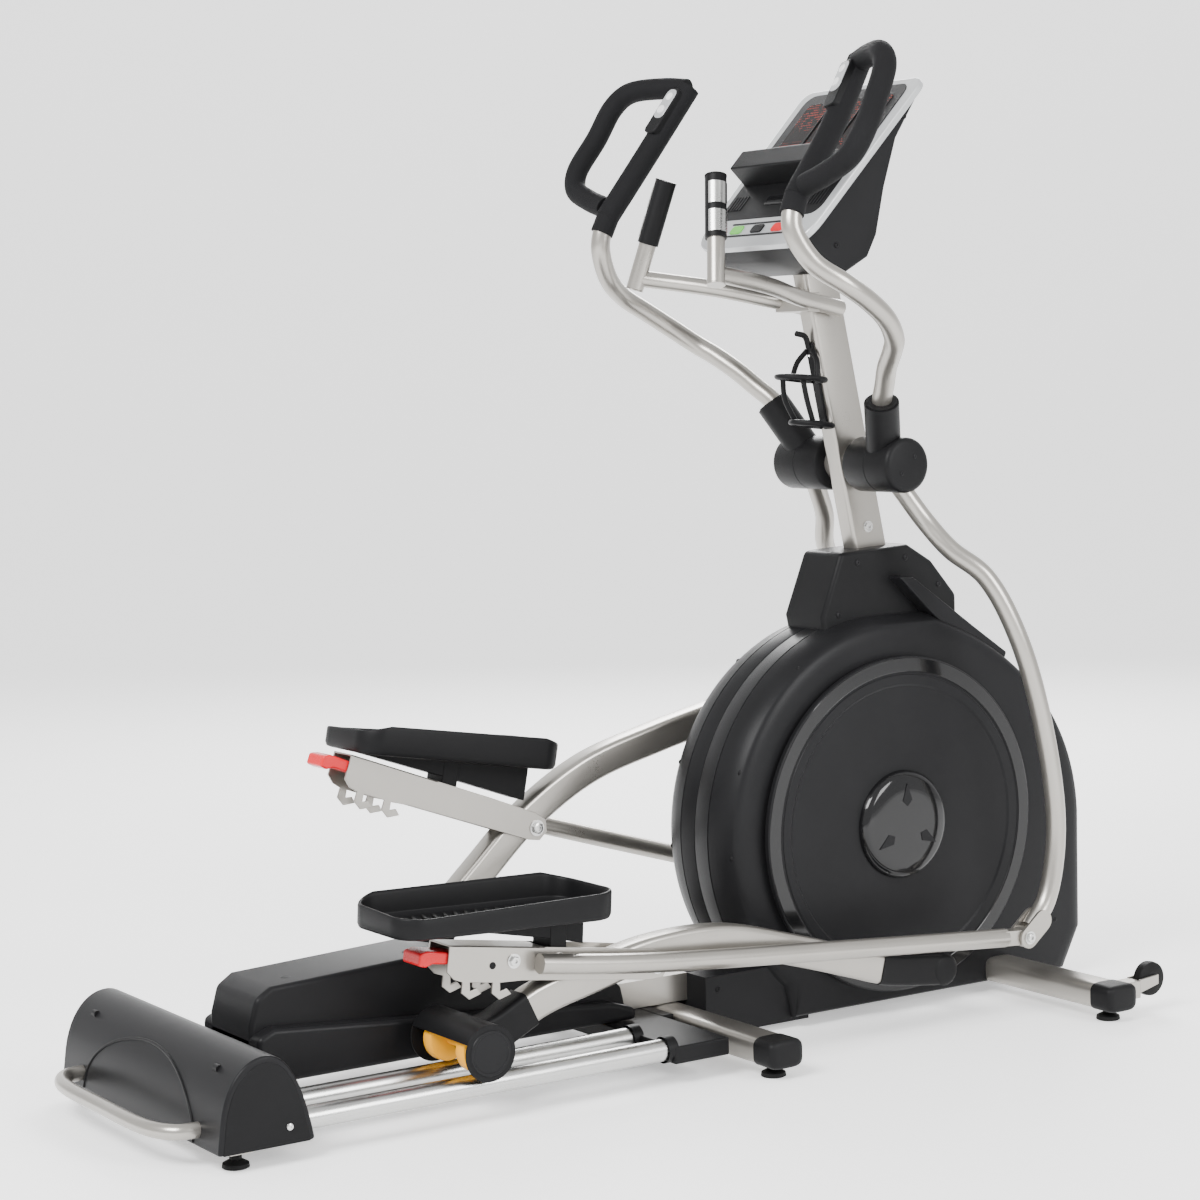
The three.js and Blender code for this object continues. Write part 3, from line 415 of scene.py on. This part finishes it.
# ---- Bottle cage ----
# Black wire and strap cage screwed to the back of the mast.
def upright(profile, x, y, sides=40):
    """Turns (z, radius) points about a vertical line."""
    a = np.linspace(0, 2 * math.pi, sides, endpoint=False)
    return grid([np.stack([x + r * np.cos(a), y + r * np.sin(a), np.full(sides, z)], 1) for z, r in profile])


back = lambda z: mast_y(z) - 39.2
wires = [slab([(back(1092), 1092), (back(1250), 1250), (back(1250) - 6, 1250), (back(1092) - 6, 1092)], -9,
              9)]
for z, reach, half in ((1180, 86, 38), (1095, 74, 34)):
    wires.append(tube([(-6, back(z) - 5.5, z), (-half, back(z) - 12, z + 2), (-half, back(z) - reach * 0.7,
                                                                              z + 8),
                       (0, back(z) - reach, z + 10), (half, back(z) - reach * 0.7, z + 8),
                       (half, back(z) - 12, z + 2), (6, back(z) - 5.5, z)], 5.3))
for s in (1, -1):
    wires.append(tube([(s * 30, back(1180) - 58, 1187), (s * 33, back(1140) - 60, 1148),
                       (s * 26, back(1095) - 50,
                                                                                       1104)], 5.0))
    wires.append(tube([(s * 9, back(1240) - 4, 1236), (s * 30, back(1215) - 16, 1214),
                       (s * 38, back(1182) - 30,
                                                                                       1184)], 5.0))
wires.append(tube([(-30, back(1095) - 50, 1104), (0, back(1095) - 52, 1102), (30, back(1095) - 50, 1104)],
                  5.0))
wires.append(tube([(0, back(1245) - 5.5, 1240), (0, back(1245) - 14, 1262), (0, back(1245) - 34, 1268)], 5.3))
piece("cage wires", wires, BLACK, "base", ["bottle_cage"])
piece("cage screws", [upright([(1225, 5), (1228, 4), (1228, 0.1)], 0, mast_y(1225) - 47, 16)], PLATE, "base")

# ---- Console ----
# A silver bezel plate with a dark inlay, a lamp window under a lens, a reading ledge, a slot, keys and
# vents, over a deep black back shell. It is drawn flat and tilted as one.
BEZEL = finish("silver bezel", (0.40, 0.41, 0.42), (0.50, 0.51, 0.52), 0.30, 0.45, 800, 0.05, coat=0.2)
GREEN = finish("green plastic", (0.10, 0.36, 0.06), (0.14, 0.46, 0.09), 0.36, 0, 600, 0.06)
RED = finish("red plastic", (0.50, 0.006, 0.012), (0.66, 0.012, 0.020), 0.28, 0, 600, 0.06, coat=0.3)
SCREEN = finish("screen lens", (0.004, 0.003, 0.003), (0.007, 0.005, 0.005), 0.20, 0, 300, 0.0, coat=0.05)


def lamp_matrix():
    """Dark lens with rows of small unlit red lamps behind it: the cells of an even lattice, each red near
    its centre, where a coarse noise is high."""
    mat = SCREEN.copy()
    mat.name = "lamp matrix"
    wire = Wire(mat.node_tree)
    place = wire.node("TexCoord", {}, {}, "Object")
    cells = wire.node("TexVoronoi", {}, {"Vector": place, "Scale": 210, "Randomness": 0.0}, "Distance")
    lit = (cells < 0.30) * (noise(wire, 60) > 0.50)
    base = mat.node_tree.nodes["Principled BSDF"].inputs["Base Color"]
    mix(lit, (0.003, 0.0015, 0.0015), (0.30, 0.030, 0.018)).into(base)
    return mat


LAMPS = lamp_matrix()


def posed(y, z, turn, side=1):
    """Turns points about X by an angle, moves them to (y, z) and mirrors them for the left side."""
    c, s = math.cos(turn), math.sin(turn)

    def move(points):
        p = np.asarray(points, float)
        return np.stack([p[:, 0] * side, p[:, 1] * c - p[:, 2] * s + y, p[:, 1] * s + p[:, 2] * c + z], 1)
    return move


TILT = 0.8151
on_console = posed(-249, 1427, TILT)


def flat(outline, z0, z1):
    """A plate drawn in the plane of the console's face."""
    o = np.asarray(outline, float)
    return grid([np.column_stack([o, np.full(len(o), z)]) for z in (z0, z1)])


def soft_rect(x0, x1, y0, y1, corner):
    r = rounded((x1 - x0) / 2, (y1 - y0) / 2, corner)
    return r + [(x0 + x1) / 2, (y0 + y1) / 2]


a = np.linspace(0, 1, 9)[:, None]
arc = lambda p0, c, p1: (1 - a) ** 2 * np.array(p0) + 2 * a * (1 - a) * np.array(c) + a ** 2 * np.array(p1)
bezel = np.concatenate([arc((114, 0), (166, 4), (168, 60)), arc((174, 382), (174, 412), (144, 412)),
                        arc((-144, 412), (-174, 412), (-174, 382)), arc((-168, 60), (-166, 4), (-114, 0))])
piece("console bezel", [flat(bezel, -14, 0)], BEZEL, "base", ["console_face"],
      on_console, 3)
piece("console inlay", [flat(soft_rect(-150, 150, 72, 398, 26), -2, 1.2)], BLACK, "base",
      place=on_console, bevel=1)
piece("lamp window", [flat(soft_rect(-126, 126, 232, 372, 12), 0, 2.0)], LAMPS, "base",
      place=on_console, bevel=0.6)
frame_bars = [sweep([(x, 240, 2.6), (x, 366, 2.6)], rounded(1.5, 1.5, 1)) for x in (-52, 52)]
piece("window dividers", frame_bars, BLACK, "base", place=on_console)
ledge = [block((-142, 142), (160, 180), (0, 46)), block((-142, 142), (160, 206), (40, 50)),
         block((-110, 110), (180, 226), (0, 12))]
piece("reading ledge", ledge, BLACK, "base", place=on_console, bevel=3)
vents = [flat(soft_rect(x, x + 4, 96, 132, 1.5), 0.8, 2.4) for x in list(range(-140, -96, 9))
         + list(range(100, 142, 9))]
piece("vent ribs", vents, GREY, "base", place=on_console)
piece("slot lip", [flat(soft_rect(-34, 34, 104, 126, 5), 0.5, 3), flat(soft_rect(-28, 28, 112, 117, 2), 2,
                                                                       3.6)],
      GLOSS, "base", place=on_console, bevel=1)
for name, x, mat, slot_name in (("start_key", -62, GREEN, "green_plastic"), ("level_rocker", 0, BLACK,
                                "black_plastic"), ("stop_key", 62, RED, "red_plastic")):
    piece(name + " cap", [flat(soft_rect(x - 17, x + 17, 34, 54, 6), -3.4, 2.4)], mat, name,
          [name],
          on_console, 1.2)
piece("key surround", [flat(soft_rect(-88, 88, 27, 31, 2), -0.5, 0.8), flat(soft_rect(-88, 88, 57, 61, 2),
                                                                            -0.5,
      0.8)], GREY, "base", place=on_console)
shell = [(12, -14.4), (404, -14.4), (396, -26), (300, -42), (215, -82), (140, -126), (96, -138), (40, -120),
         (8, -50)]
neck = [(60, -60), (60, -130), (100, -148), (200, -104), (260, -50)]
piece("console back shell", [slab(shell, -150, 150), slab(neck, -90, 90)], GREY, "base",
      ["console_back"], on_console, 8)
piece("shell screws", [screw_head(s * 150, y, z, s, 5) for s in (1, -1) for y, z in ((60, -70), (340, -28))],
      BLACK, "base", place=on_console)

# ---- Swing arms ----
# Bent silver tubes held in black hub covers, with a looped foam grip on top and a forked end below. The
# covers have a parting line around the barrel and a plain end cap.
FOAM = finish("foam rubber", (0.005, 0.005, 0.0055), (0.010, 0.010, 0.011), 0.72, 0, 1600, 0.6)
WHITE = finish("white key", (0.62, 0.62, 0.62), (0.74, 0.74, 0.74), 0.40, 0, 700, 0.05)
UPPER = [(118, -22, 40), (140, -37, 80), (160, -50, 117), (192, -69, 148), (224, -89, 179), (266, -110, 210),
         (294, -129, 230), (322, -170, 265), (333, -222, 299), (332, -269, 326), (310, -318, 362),
         (291, -346, 417), (287, -345, 443), (284, -335, 470), (282, -322, 495)]
LOWER = [(122, 8, -26), (132, 28, -58), (150, 56, -105), (188, 84, -158), (230, 131, -209), (264, 183, -330),
         (275, 240, -540), (275, 257, -700), (275, 232, -815), (275, 192, -864)]
GRIP_MAIN = [(284, -334, 474), (272, -243, 594), (249, -160, 715)]
GRIP_LOOP = [(250, -163, 712), (300, -181, 718), (372, -213, 714), (402, -230, 690), (415, -262, 632),
             (427, -303, 568), (412, -317, 536), (360, -322, 512), (300, -324, 494)]
SWING = {"right": 0.00196, "left": 0.01881}
PIVOTS = {"right": (158.72, 146.34, -0.06998), "left": (173.48, 149.39, -0.28282)}
ARMS = {"right": (-5.08, 101.05, -0.01865), "left": (5.08, 608.95, 0.50208)}

along = np.array([-44, 167, 241.0])
along /= np.linalg.norm(along)
facing = np.array([0, -1.0, 0]) + along * along[1]
facing /= np.linalg.norm(facing)
across = np.cross(along, facing)


def on_grip(points):
    p = np.asarray(points, float)
    return np.array([260, -197, 660.0]) + p[:, :1] * across + p[:, 1:2] * along + p[:, 2:] * facing


for name, s in (("right", 1), ("left", -1)):
    place = posed(-15, 1024, SWING[name], s)
    body = name + "_arm"
    piece("upper tube " + name, [tube(UPPER, 18.2)], SILVER, body,
          ["swing_arm_upper_" + name], place)
    fork = []
    q = np.linspace(math.pi / 2, 3 * math.pi / 2, 15) + math.atan2(27, 34)
    half = np.stack([20 * np.cos(q), 20 * np.sin(q)], 1)
    for x in (257.5, 289.5):
        fork.append(slab(np.concatenate([half + [172, -878], -half + [206, -851]]), x, x + 5))
    piece("lower tube " + name, [tube(LOWER, 18.2)] + fork, SILVER, body,
          ["swing_arm_lower_" + name], place)
    piece("fork bolt " + name, bolt_head(294.5, 172, -878, 1, 9, 7) + bolt_head(257.5, 172, -878, -1, 9, 7)
          + [lathe([(255, 8), (297, 8)], 172, -878, 24)], PLATE, body, place=place)
    barrel = [(38, 0.1), (38, 44), (41, 49), (46, 51), (104, 51), (104.5, 50), (105.5, 50), (106, 51),
              (163, 51),
              (168, 49.5), (171.5, 46), (173, 41), (173, 0.1)]
    sleeve = sweep([np.array([104, 0, 0]) + (np.array([162, -52, 116]) - np.array([104, 0, 0])) * t
                    for t in (0, 0.5, 0.93, 0.98, 1.0)], circle(32, 40))
    lip = sweep([(158, -48.5, 108), (163, -53, 118)], circle(28, 40))
    piece("hub cover " + name, [lathe(barrel, 0, 0, 64), sleeve, lip], BLACK, body,
          ["swing_hub_" + name], place, 2)
    piece("hub cover screws " + name, [screw_head(173, 22 * math.cos(q), 22 * math.sin(q), 1, 4, 2)
          for q in (0.8, 3.9)], GREY, body, place=place)
    piece("foam grip " + name, [tube(GRIP_MAIN, 21.8, 12), tube(GRIP_LOOP, 20.4, 12),
          sweep(curve([(287, -345, 446), (285, -338, 462), (283, -330, 480)], 6), circle(21.4))], FOAM, body,
          ["hand_grip_" + name], place)
    pod = lambda p: place(on_grip(p))
    piece("keypad pod " + name, [flat(soft_rect(-17, 17, -50, 50, 9), 12, 25.8)], BLACK, body,
          place=pod, bevel=2)
    piece("keypad plate " + name, [flat(soft_rect(-14, 14, -18, 46, 11), 24.5, 26.8)], BEZEL, body,
          place=pod, bevel=0.6)
    piece("fixed key " + name, [flat(soft_rect(-8, 8, 22, 38, 7.5), 26, 28.2)], WHITE, body,
          place=pod, bevel=0.6)
    piece("grip key cap " + name, [flat(soft_rect(-8.5, 8.5, -8.5, 8.5, 8), 24.5, 30)], WHITE,
          name + "_grip_key",
          ["grip_key_" + name], pod, 1)

# ---- Pedal links ----
# A round tube from the fork runs back into a folded steel channel with bolts, a large hole and hooked
# catches, its holes drawn as black discs of painted shade; a red lever sits at its rear. The tray pedal has
# ribs across its floor and raised edges.
def behind_bolt(points):
    """Moves what is drawn about the rail arm bolt to its place behind the fork."""
    return posed(-812, 0, math.radians(-4.5))(points)


def pedal_tray(back):
    """A tray from rings round its plan: under the floor, up the outside, over the rim, down to the floor.
    The rim's height runs between that of the inner and of the outer side in proportion to x."""
    def ring(inset, low, share):
        p = rounded(93 - inset, 207.5 - inset, 46 - inset, 12) + [225, -207.5]
        x, y = p.T
        inner = np.interp(y, [-409, -360, -280, -60, 0], [111, 126, 138, 138, 126])
        outer = np.interp(y, [-409, -190, -100, 0], [104, 104, 118, 128])
        rim = inner + (outer - inner) * (x - 132) / 186
        floor = 78 + 10 * (y + 8) / 407 + low
        return np.column_stack([x, y - back, floor + (rim - floor) * share])
    return grid([ring(9, 0, 0), ring(3, 2, 0), ring(0, 9, 0), ring(0, 0, 0.9), ring(1, 0, 0.97),
                 ring(3.5, 0, 1),
                 ring(6, 0, 0.96), ring(7.5, 0, 0.88), ring(9, 16, 0), ring(14, 10.5, 0), ring(20, 9, 0)])


for name, s in (("right", 1), ("left", -1)):
    cy, cz, turn = PIVOTS[name]
    place = posed(cy, cz, turn, s)
    body = name + "_link"
    hook = lambda y: [(y, -32), (y, -50), (y + 16, -60), (y + 38, -50), (y + 28, -41), (y + 16, -46),
                      (y + 14, -32)]
    cheek = [(14, -20), (24, 0), (14, 20), (-10, 26), (-120, 28), (-415, 28), (-415, -16), (-401, -28)]
    cheek += hook(-384) + hook(-326) + [(-270, -28), (-10, -25)]
    channel = [slab(cheek, 190, 194), slab(cheek, 252, 256), block((190, 256), (-415, -230), (25, 28))]
    channel = [(behind_bolt(v), f) for v, f in channel]
    spar = tube([(276, -45, 0), (276, -400, 3), (276, -800, 8), (274, -940, 14), (271, -1060, 22)], 17.3)
    eye = [lathe([(263.5, 19), (288.5, 19), (288.5, 8.5), (263.5, 8.5), (263.5, 19)], 0, 0, 40),
           block((263.5, 288.5), (-52, -10), (-14, 14))]
    eye[0] = (eye[0][0], eye[0][1][:-2])
    piece("link tube and channel " + name, [spar] + eye + channel, SILVER, body,
          ["pedal_link_" + name], place, 0.8)
    # Black discs on the channel where its holes are, painted to stand for the shade inside them.
    holes = [lathe([(256.05, r), (256.6, r), (256.6, r - 2.5), (256.3, r - 2.6), (256.3, 0.1)], y, z, 40)
             for y, z, r in ((-150, 2, 15), (-232, -4, 6), (-330, -4, 6), (-60, 0, 6))]
    piece("channel holes " + name, [(behind_bolt(v), f) for v, f in holes], BLACK, body,
          place=place)
    bolts = bolt_head(256, 0, 0, 1, 11, 8) + bolt_head(256, -290, 4, 1, 9, 7) + bolt_head(190, 0, 0, -1,
                                                                                          11, 8)
    bolts += bolt_head(256, -200, 10, 1, 7, 6)
    bolts.append(lathe([(192, 8), (254, 8)], 0, 0, 24))
    piece("channel bolts " + name, [(behind_bolt(v), f) for v, f in bolts], PLATE, body,
          place=place)
    lever = [(-386, 15), (-386, -4), (-440, -4), (-452, -10), (-466, -8), (-466, 12), (-452, 17)]
    v, f = slab(lever, 195.2, 250.8)
    piece("tilt lever grip " + name, [(behind_bolt(v), f)], RED, name + "_lever",
          ["tilt_lever_" + name], place, 4)
    back, tilt = (120, 5) if name == "right" else (0, 9.5)
    tilted = lambda p: behind_bolt(posed(-200, 10, math.radians(tilt))(np.asarray(p, float) - [0, -200, 10]))
    keel = [(-36 - back * 0.95, 77), (-36 - back * 0.95, 14 + back * 0.13), (-200, 40), (-385, 67),
            (-385, 71)]
    lug = [block((195.5, 250.5), (-216, -184), (14, 82)), lathe([(195.5, 12), (250.5, 12)], -200, 10, 32),
           slab(keel, 196.5, 249.5)]
    piece("pedal tray " + name, [(tilted(v), f) for v, f in [pedal_tray(back)] + lug], BLACK, name + "_pedal",
          ["pedal_" + name], place, 1.5)
    ribs = []
    for k in range(18):
        y = -36 - k * 20
        z = 87 + 10 * (y + 8) / 407
        half = 62 if 1 < k < 16 else 50
        wave = [(225 + x, y - back + 8 * math.sin(x / 16), z + 1.2) for x in np.linspace(-half, half, 31)]
        ribs.append(sweep(wave, rounded(3.0, 2.2, 1)))
    piece("pedal treads " + name, [(tilted(v), f) for v, f in ribs], RUBBER, name + "_pedal",
          place=place)

# ---- Rail arms and rollers ----
# Curved box-section arms, closed by a black cap at the crank pin, run back to a pair of amber rollers
# under a black round cover.
YELLOW = finish("amber wheel", (0.74, 0.32, 0.012), (0.90, 0.42, 0.02), 0.34, 0, 500, 0.08)
SPINE = [(-1016, 0), (-960, 12), (-871, 54), (-773, 80), (-643, 108), (-491, 110), (-329, 72), (-211, 38),
         (-133, 16), (0, 0)]
for name, s in (("right", 1), ("left", -1)):
    y, z, turn = ARMS[name]
    place = posed(y, z, turn, s)
    body = name + "_rail_arm"
    path = curve([(223, v, w) for v, w in SPINE], 12)
    piece("rail arm tube " + name, [sweep(path, rounded(23.8, 27.6, 9)),
          lathe([(199.2, 24), (201, 27.6), (245, 27.6), (246.8, 24)], 0, 0, 48)], SILVER, body,
          ["rail_arm_" + name], place)
    cap = lathe([(198.8, 0.1), (198.8, 25), (201, 29), (245, 29), (248.5, 26), (250, 20), (250.4, 0.1)], 0,
                0, 56)
    piece("arm end sleeve " + name, [sweep(path[-15:], rounded(25.4, 29, 9)), cap], BLACK, body,
          place=place)
    piece("arm rear sleeve " + name, [sweep(path[:22], rounded(27, 31, 9))], BLACK, body,
          place=place)
    roller = []
    for x in (172, 276):
        prof = [(x - 15, 9), (x - 15, 30), (x - 13, 36), (x - 9, 38), (x + 9, 38), (x + 13, 36), (x + 15, 30),
                (x + 15, 9)]
        roller.append(lathe(prof, -1016, 0, 64))
    piece("rollers " + name, roller + [lathe([(138.5, 8), (307.5, 8)], -1016, 0, 24)], YELLOW,
          name + "_roller",
          ["rail_roller_" + name], place)
    level = posed(-1016, 0, -turn)
    q = np.linspace(math.radians(-17), math.radians(156), 40)
    shade = [(47 * math.cos(t), 47 * math.sin(t)) for t in q] + [(41.5 * math.cos(t), 41.5 * math.sin(t))
                                                                for t in q[::-1]]
    walls = [lathe([(x0, 0.1), (x0, 45), (x0 + 1.5, 47), (x0 + 4, 47), (x0 + 4, 0.1)], 0, 0, 56)
             for x0 in (134, 310)]
    cover = [slab(shade, 136, 312)] + walls
    piece("roller cover shell " + name, [(level(v), f) for v, f in cover], BLACK, body,
          ["roller_cover_" + name], place, 1)
    piece("roller cover disc " + name, [(level(v), f) for v, f in [lathe([(314, 38), (315.5, 37), (315.5, 33),
          (314.6, 32), (314.6, 0.1)], 0, 0, 56)]], GREY, body, place=place)

# ---- Base ----
# Round cross tubes with capped ends stand on threaded feet; bright rails run from the black block into
# the rear cover, and transport wheels turn in brackets at the front.
def oval_tube(stations, y):
    """An oval with flattened sides carried through (x, scale) stations. Each half axis is times the signed
    square root of the cosine and of the sine of the angle."""
    a = np.linspace(0, 2 * math.pi, 64, endpoint=False)
    c, s = (np.sign(v) * np.sqrt(np.abs(v)) for v in (np.cos(a), np.sin(a)))
    return grid([np.stack([np.full(64, x), y + 34 * k * c, 45 + 24 * k * s], 1) for x, k in stations])


for y, half, node in ((-475, 385, "mid_stabiliser"), (250, 445, "front_stabiliser")):
    parts = [oval_tube([(-half + 40, 1), (half - 40, 1)], y)]
    if node == "front_stabiliser":
        for s in (1, -1):
            parts.append(block((s * 404 - 17, s * 404 + 17), (255, 316), (33, 65)))
            for e in (-15, 15):
                parts.append(slab([(314, 42), (361, 53), (361, 71), (314, 67)], s * 404 + e - 2.5,
                                  s * 404 + e + 2.5))
            parts.append(lathe([(s * 404 - 17, 5), (s * 404 + 17, 5)], 352, 62, 20))
    piece(node.replace("_", " ") + " tube", parts, SILVER, "base", [node], bevel=1)
    ends = [oval_tube([(s * (half - 52), 1.0), (s * (half - 51), 1.05), (s * (half - 10), 1.06),
                       (s * (half - 4), 1.0),
                       (s * (half - 1.2), 0.9), (s * (half - 0.2), 0.7)], y) for s in (1, -1)]
    piece(node.replace("_", " ") + " caps", ends, BLACK, "base")
for name, s in (("right", 1), ("left", -1)):
    for place_name, x in (("inner", 172), ("outer", 276)):
        piece(f"rail {place_name} {name}", [lathe([(-1392, 18), (-1391, 19), (-651, 19), (-650, 18)],
                                                  s * x, 0, 48)],
              STEEL, "base", [f"rail_{place_name}_{name}"],
              lambda p: np.stack([p[:, 1], p[:, 0], p[:, 2] + 61], 1))
    for row, y, x in (("rear", -1455, 263), ("mid", -475, 343), ("front", 250, 403)):
        body = f"foot_{row}_{name}"
        profile = [(0, 0.1), (0, 19), (1.5, 22), (8, 21), (12, 14), (14, 9), (17, 9), (17, 5), (49, 5),
                   (49, 0.1)]
        nut = upright([(13, 0.1), (13, 10), (19.5, 10), (19.5, 0.1)], s * x, y, 6)
        piece(body.replace("_", " ") + " pad", [upright(profile, s * x, y), nut], RUBBER, body,
              [body])
    tyre = [(-11, 5.6), (-11, 27), (-8, 31), (0, 32), (8, 31), (11, 27), (11, 5.6)]
    wheel = lathe([(s * 404 + v, r) for v, r in tyre + tyre[:1]], 352, 62, 64)
    piece("transport tyre " + name, [(wheel[0], wheel[1][:-2])], RUBBER, "transport_wheel_" + name,
          ["transport_wheel_" + name])
    piece("transport hub " + name, [lathe([(s * 404 + v, 14) for v in (-11.4, 11.4)], 352, 62, 40)], GREY,
          "transport_wheel_" + name)
piece("rail block casting", [block((-300, 300), (-649, -535), (38, 69)), block((-100, 100), (-536, -509.4),
                                                                               (38, 69))],
      BLACK, "base", ["rail_block"], bevel=4)
piece("rail sockets", [lathe([(-652, 19.4), (-660, 23), (-640, 23)], x, 0, 40) for x in (-276, -172, 172,
                                                                                         276)],
      BLACK, "base", place=lambda p: np.stack([p[:, 1], p[:, 0], p[:, 2] + 61], 1))
dressed("base_beam", SILVER)

# ---- Rear cover, carry handle and centre cover ----
# Moulded black covers: an arched one across the rear with a carry bar behind it, and a long stepped one
# over the centre beam.
def bezier(*p):
    t = np.linspace(0, 1, 14)[:, None]
    p = np.array(p, float)
    return (1 - t) ** 3 * p[0] + 3 * (1 - t) ** 2 * t * p[1] + 3 * (1 - t) * t ** 2 * p[2] + t ** 3 * p[3]


arch = np.concatenate([[(-1502, 32)], bezier((-1497, 70), (-1490, 140), (-1455, 178), (-1415, 177)),
                       bezier((-1415, 177), (-1375, 175), (-1352, 120), (-1336, 38))[1:], [(-1336, 32)]])
piece("rear arch", [slab(arch, -302, 302)], GREY, "base", ["rear_cover"], bevel=5)
piece("rear arch ends", [slab([(-1420 + (y + 1420) * 0.9, 34 + (z - 34) * 0.93) for y, z in arch], s * 300,
      s * 303) for s in (1, -1)], BLACK, "base", bevel=1)
arch_y = lambda z: float(np.interp(z, arch[:13, 1], arch[:13, 0]))
# A black bead along the outline of a recess that is not modelled; its dark colour is painted shade standing
# for the recess's shaded edge.
rise = [(210 * math.cos(q), 36 + 112 * math.sin(q)) for q in np.linspace(0, math.pi, 60)]
piece("rear recess painted edge shade", [sweep([(x, arch_y(z) + 0.4, z) for x, z in rise], rounded(2.6, 2.6, 2))], BLACK,
      "base")
# Black bars on the arch where the screw pockets are, painted to stand for the shade inside the pockets.
pockets = [sweep([(s * 232 - 7, arch_y(152) + 1, 152), (s * 232 + 7, arch_y(152) + 1, 152)],
                 circle(6)) for s in (1, -1)]
piece("rear screw pocket painted shade", pockets, BLACK, "base")
piece("rear end screws", [screw_head(s * 303, -1380, 60, s, 6) for s in (1, -1)], PLATE, "base")
bar = [(-222, -1477, 58), (-222, -1500, 58), (-215, -1530, 58), (-175, -1553, 58), (0, -1560, 58),
       (175, -1553, 58), (215, -1530, 58), (222, -1500, 58), (222, -1477, 58)]
piece("carry bar", [tube(bar, 12.8)], SILVER, "base", ["carry_handle"])
roof = [(-1330, 72), (-1330, 165), (-1318, 208), (-1290, 226), (-980, 240), (-900, 222), (-640, 148),
        (-604, 130),
        (-592, 72)]
step = [(-1330, 72), (-1330, 150), (-1300, 162), (-640, 108), (-592, 92), (-592, 72)]
piece("centre beam cover", [slab(roof, -76, 76), slab(step, -104, 104)], GREY, "base",
      ["centre_cover"], bevel=9)
# Black discs on the cover where its holes are, painted to stand for the shade inside them.
painted_hole_shade = [upright([(238.6 + d, 9), (240.2 + d, 9), (240.2 + d, 7), (239 + d, 6.8), (239 + d, 0.1)], 30, y, 30)
         for y, d in ((-1010, -1.2), (-1240, -11.6))]
piece("centre cover hole painted shade", painted_hole_shade, BLACK, "base")

# ---- Room ----
# A pale floor that runs up into the backdrop, under two broad soft lamps and an even sky.
def pale():
    mat = finish("pale floor", (0.90, 0.90, 0.90), (0.93, 0.93, 0.93), 0.6, 0, 40, 0.01, patch=2)
    mat.node_tree.nodes["Principled BSDF"].inputs["Emission Color"].default_value = (1, 1, 1, 1)
    mat.node_tree.nodes["Principled BSDF"].inputs["Emission Strength"].default_value = 0.55
    return mat


u = np.linspace(-12, 12, 25)
v = np.concatenate([np.linspace(-12, 7, 20), 7 + 3 * np.sin(np.linspace(0.1, math.pi / 2, 12)), [10.0]])
h = np.concatenate([np.zeros(20), 3 - 3 * np.cos(np.linspace(0.1, math.pi / 2, 12)), [9.0]])
rings = [np.stack([u, np.full(25, y), np.full(25, z)], 1) for y, z in zip(v, h)]
t = math.radians(56.44)
turn = np.array([[math.cos(t), math.sin(t), 0], [-math.sin(t), math.cos(t), 0], [0, 0, 1]])
verts, faces = grid(rings, wrap=False, caps=False)
mesh = bpy.data.meshes.new("floor")
mesh.from_pydata((verts @ turn).tolist(), [], faces)
mesh.shade_smooth()
mesh.materials.append(pale())
floor_obj = bpy.data.objects.new("floor", mesh)
bpy.context.scene.collection.objects.link(floor_obj)


def lamp(name, position, target, width, power):
    data = bpy.data.lights.new(name, "AREA")
    data.shape = "RECTANGLE"
    data.size, data.size_y = width
    data.energy = power
    obj = bpy.data.objects.new(name, data)
    back = np.array(position, float) - np.array(target, float)
    back /= np.linalg.norm(back)
    obj.matrix_world = facing_from(back, position)
    bpy.context.scene.collection.objects.link(obj)


lamp("key", (1.5, -4.0, 4.2), (0, 0, 0.7), (3.0, 2.0), 480)
lamp("side", (5.0, 1.5, 2.6), (0, 0.2, 0.8), (2.0, 2.5), 260)
lamp("rim", (-3.5, 3.0, 3.2), (0, 0.2, 0.9), (2.5, 2.0), 300)
world = bpy.data.worlds.new("sky")
world.use_nodes = True
world.node_tree.nodes["Background"].inputs["Color"].default_value = (1, 1, 1, 1)
world.node_tree.nodes["Background"].inputs["Strength"].default_value = 1.15
bpy.context.scene.world = world
